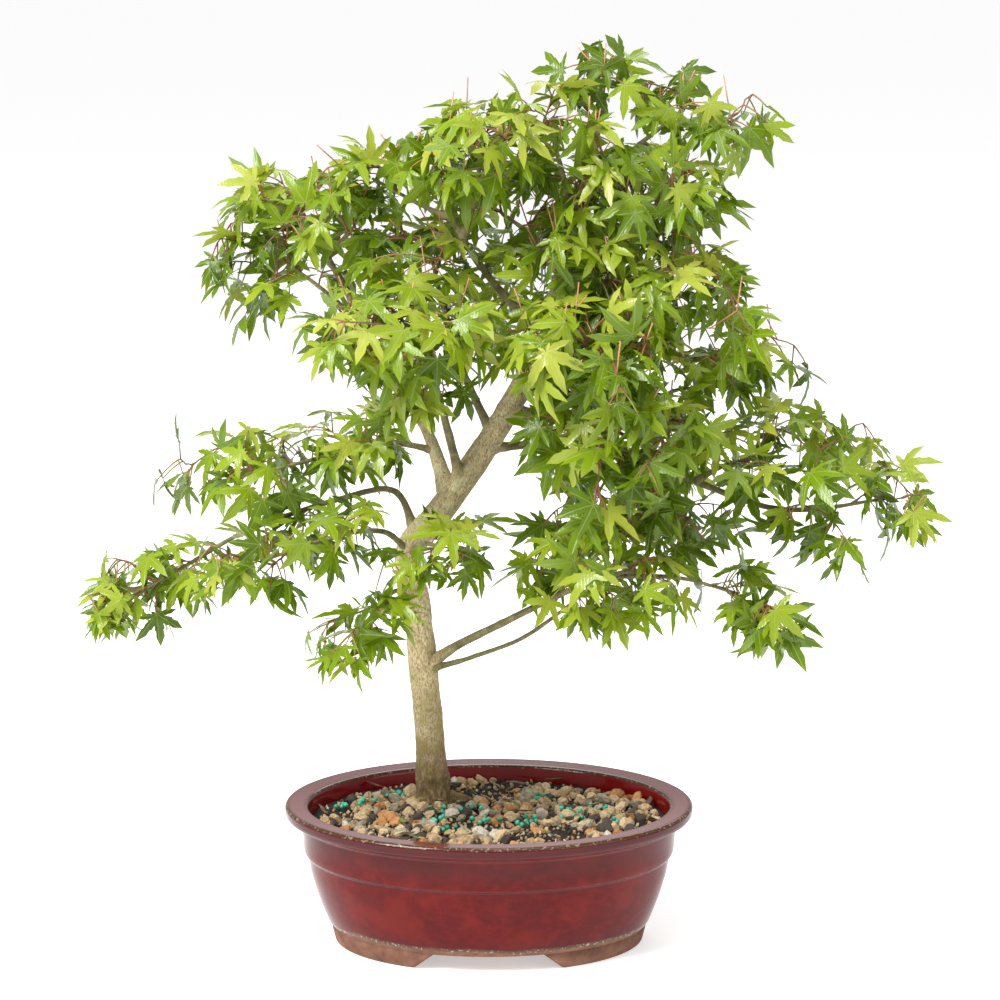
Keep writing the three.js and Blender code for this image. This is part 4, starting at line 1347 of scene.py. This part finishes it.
joints, along, side, leaf_group, share, leaf_kind = sprout(twigs, twig_group, twig_kind)
count = len(joints)
group_middle = np.array([middles[name] for name in GROUPS])[leaf_group]
group_half = np.array([halves[name] for name in GROUPS])[leaf_group]
outward = unit((joints - group_middle) / group_half**1.3)
flat_out = unit((joints - [0, 10, 0]) * [1, 1, 0])
stalk_length = rng.uniform(12, 25, (count, 1)) * (0.8 + 0.2 * share[:, None])
heading = 0.75 * along + 0.8 * side + 0.35 * outward + [0, 0, 0.12]
heading = unit(heading + rng.normal(0, 0.15, (count, 3)))
hanging = (leaf_kind == "spray")[:, None]
heading = np.where(hanging, unit(0.3 * along + 0.5 * side - [0, 0, 0.45]), heading)
stalk_length = np.where(hanging, 0.75 * stalk_length, stalk_length)
stalk_end = joints + stalk_length * (heading - [0, 0, 0.22])
inside = (stalk_end - group_middle) / (group_half * [0.84, 0.86, 0.92])
too_far = np.maximum(np.linalg.norm(inside, axis=1, keepdims=True), 1)
stalk_end = np.where(hanging, stalk_end, group_middle + (stalk_end - group_middle) / too_far)
leaf_reach = rng.uniform(18, 28.5, (count, 1)) * (0.88 + 0.12 * share[:, None])
stalk_end = np.clip(stalk_end, room_low + 0.75 * leaf_reach, room_high - 0.62 * leaf_reach)
STALK_SHAPE = (5, 4)  # rows and sides
t = np.linspace(0, 1, STALK_SHAPE[0])[:, None]
bow = (joints + stalk_end)[:, None, :] / 2 + (0.14 * stalk_length * [0, 0, 1.0])[:, None, :]
stalks = (1 - t) ** 2 * joints[:, None, :] + 2 * t * (1 - t) * bow + t**2 * stalk_end[:, None, :]

face_up = unit(outward * [0.6, 0.6, 0.4] + [0, -0.16, 0.55] + rng.normal(0, 0.42, (count, 3)))
point = 0.6 * unit(stalk_end - joints) + 0.3 * outward * [1, 1, 0.2] + 0.2 * flat_out - [0, 0, 0.5]
point = point + rng.normal(0, 0.42, (count, 3))
point = unit(point - (point * face_up).sum(axis=1, keepdims=True) * face_up)
across = np.cross(point, face_up)
print("leaves:", count)

# %% Bend and place the leaves
flat = leaf_outlines(count)
from_stalk = np.linalg.norm(flat, axis=-1)
angle = np.arctan2(flat[..., 0], flat[..., 1])
off_rib = np.abs((angle / math.radians(RIB_TURN) + 0.5) % 1 - 0.5) * math.radians(RIB_TURN) * from_stalk
fold = rng.uniform(0.15, 0.75, (count, 1)) * off_rib
droop = -rng.uniform(0.05, 0.42, (count, 1)) * from_stalk**2
cup = rng.normal(0, 0.10, (count, 1)) * np.abs(flat[..., 0])
twist = rng.normal(0, 0.14, (count, 1)) * flat[..., 0] * flat[..., 1]
lift = fold + droop + cup + twist
blades = leaf_reach[..., None] * (
    flat[..., :1] * across[:, None, :]
    + flat[..., 1:] * point[:, None, :]
    + lift[..., None] * face_up[:, None, :]
) + stalk_end[:, None, :]

# %% [markdown]
# Every leaf is laid out on one square map of sixteen cells. The cell a leaf is in sets its tone of
# green, from deep to young yellow-green, so the finish can work out from the map both the tone
# and the ribs, which run out from the stalk end at even angles. Leaves near the twig tips are the
# younger ones. Leaves high and in front in their group are also lighter, and those low and at the
# back deeper, which is painted light.

# %% The leaf map
CELLS = 4
CELL_FILL = 0.42  # a leaf reaches this far from the middle of its cell, as a share of the cell
HEEL = 0.12  # how far the stalk end is off the middle of the cell, as a share of the leaf
# Younger towards the twig tips, plus painted light: lighter high and in front in the group, deeper low and
# behind
youth_and_light = 0.5 * share + 0.30 * outward[:, 2] - 0.10 * outward[:, 1] + rng.normal(0, 0.22, count)
rank = np.argsort(np.argsort(youth_and_light)) / count
cell = np.minimum((rank * CELLS**2).astype(int), CELLS**2 - 1)
corner = np.stack([cell % CELLS, cell // CELLS], -1)[:, None, :]
leaf_map = (corner + 0.5 + CELL_FILL * (flat - [0, HEEL])) / CELLS


def leaf_finish():
    """Thin green leaf: tone by cell, partly painted light, pale ribs, soft mottling, and light that passes
    through.
    """
    material, tree, shader, where = finish("maple leaf", Roughness=0.25, Specular_IOR_Level=0.44)
    spot = node(tree, "UVMap", uv_map="OFBake").outputs["UV"]
    spread = node(tree, "VectorMath", {0: spot, 1: (CELLS, CELLS, 1)}, operation="MULTIPLY").outputs[0]
    whole = node(tree, "VectorMath", {0: spread}, operation="FLOOR").outputs[0]
    within = node(tree, "VectorMath", {0: spread, 1: whole}, operation="SUBTRACT").outputs[0]
    number = node(tree, "SeparateXYZ", {"Vector": whole})
    rank = calculate(tree, "MULTIPLY_ADD", number.outputs["Y"], CELLS, number.outputs["X"])
    rank = calculate(tree, "DIVIDE", rank, CELLS**2 - 1)
    # From deep green to young yellow-green; the cell order carries painted light as well as age
    green = ramp(tree, rank, [
        (0.0, paint(73, 98, 1)), (0.3, paint(96, 124, 2)), (0.6, paint(116, 142, 6)),
        (0.86, paint(140, 160, 24)), (1.0, paint(168, 176, 60)),
    ])
    stalk_end = (0.5, 0.5 - HEEL * CELL_FILL, 0)
    centred = node(tree, "VectorMath", {0: within, 1: stalk_end}, operation="SUBTRACT").outputs[0]
    flat = node(tree, "SeparateXYZ", {"Vector": centred})
    turn = calculate(tree, "ARCTAN2", flat.outputs["X"], flat.outputs["Y"])
    turn = calculate(tree, "MULTIPLY_ADD", turn, 1 / math.radians(RIB_TURN), 0.5)
    turn = calculate(tree, "FLOORED_MODULO", turn, 1.0)
    turn = calculate(tree, "ABSOLUTE", calculate(tree, "SUBTRACT", turn, 0.5))
    reach = node(tree, "VectorMath", {0: centred}, operation="LENGTH").outputs["Value"]
    off_rib = calculate(tree, "MULTIPLY", turn, reach)
    rib = fade(tree, off_rib, 0.011, 0.003)
    veins = node(tree, "TexWave", {"Vector": where, "Scale": 160.0, "Distortion": 5.0, "Detail": 2.0})
    colour = tint(tree, rib, 0.32, green, paint(172, 186, 108))
    patch = use(tree, BLOTCHES, Vector=where, Scale=55.0, Detail=3.0, Level=0.5, Softness=0.15)
    colour = tint(tree, patch["Mask"], 0.22, colour, paint(124, 156, 50))
    rim = node(tree, "MapRange", {"Value": reach, "From Min": 0.30, "From Max": 0.42}).outputs["Result"]
    patchy = calculate(tree, "MULTIPLY", patch["Mask"], 0.30)
    colour = tint(tree, rim, patchy, colour, paint(168, 150, 60))
    tree.links.new(colour, shader.inputs["Base Color"])
    fine_veins = calculate(tree, "MULTIPLY", veins.outputs["Fac"], 0.25)
    height = calculate(tree, "MULTIPLY_ADD", rib, -0.8, fine_veins)
    bump = node(tree, "Bump", {"Strength": 0.35, "Distance": 0.0005, "Height": height})
    tree.links.new(bump.outputs["Normal"], shader.inputs["Normal"])
    through = node(tree, "BsdfTranslucent", {"Color": colour})
    mixed = node(tree, "MixShader", {"Fac": 0.30, 1: shader.outputs["BSDF"], 2: through.outputs["BSDF"]})
    tree.links.new(mixed.outputs["Shader"], tree.nodes["Material Output"].inputs["Surface"])
    return material


LEAF = leaf_finish()

# %% The leaf pieces, one for each group
PER_LEAF = flat.shape[1]
for number, name in enumerate(GROUPS):
    mine = leaf_group == number
    step = PER_LEAF * np.arange(mine.sum())[:, None, None]
    faces = [(LEAF_QUADS + step).reshape(-1, 4), (LEAF_TRIS + step).reshape(-1, 3)]
    leaves = make_piece(name.replace("foliage", "leaves"), blades[mine].reshape(-1, 3), faces, LEAF,
                        uv=leaf_map[mine].reshape(-1, 2))
    settle(leaves, "leaves", name)


# %% Twig, stub and stalk pieces
stalk_radius = np.linspace(0.55, 0.34, STALK_SHAPE[0]) * np.ones((count, 1))
stalk_points = tube_points(stalks, stalk_radius, STALK_SHAPE[1])
YOUNG = {  # piece: (slot, points, rows and sides, finish, dark, middle and light tone)
    "twigs": ("bark", twig_points, (BENDS, TWIG_SIDES), "young bark",
              (92, 52, 44), (118, 84, 60), (126, 120, 72)),
    "pruned_stubs": ("bark", stub_points, STUB_SHAPE, "pruned bark",
                     (150, 88, 66), (196, 130, 100), (206, 158, 124)),
    "leaf_stalks": ("leaves", stalk_points, STALK_SHAPE, "leaf stalk",
                    (150, 62, 58), (150, 110, 62), (140, 158, 70)),
}
for name, (slot, points, shape, label, *tones) in YOUNG.items():
    smooth_bark = plain_finish(label, 45.0, tones, (900.0, 0.3, 0.0003), Roughness=0.55)
    faces = tube_faces(*shape, len(points))
    settle(make_piece(name, points.reshape(-1, 3), faces, smooth_bark), slot)
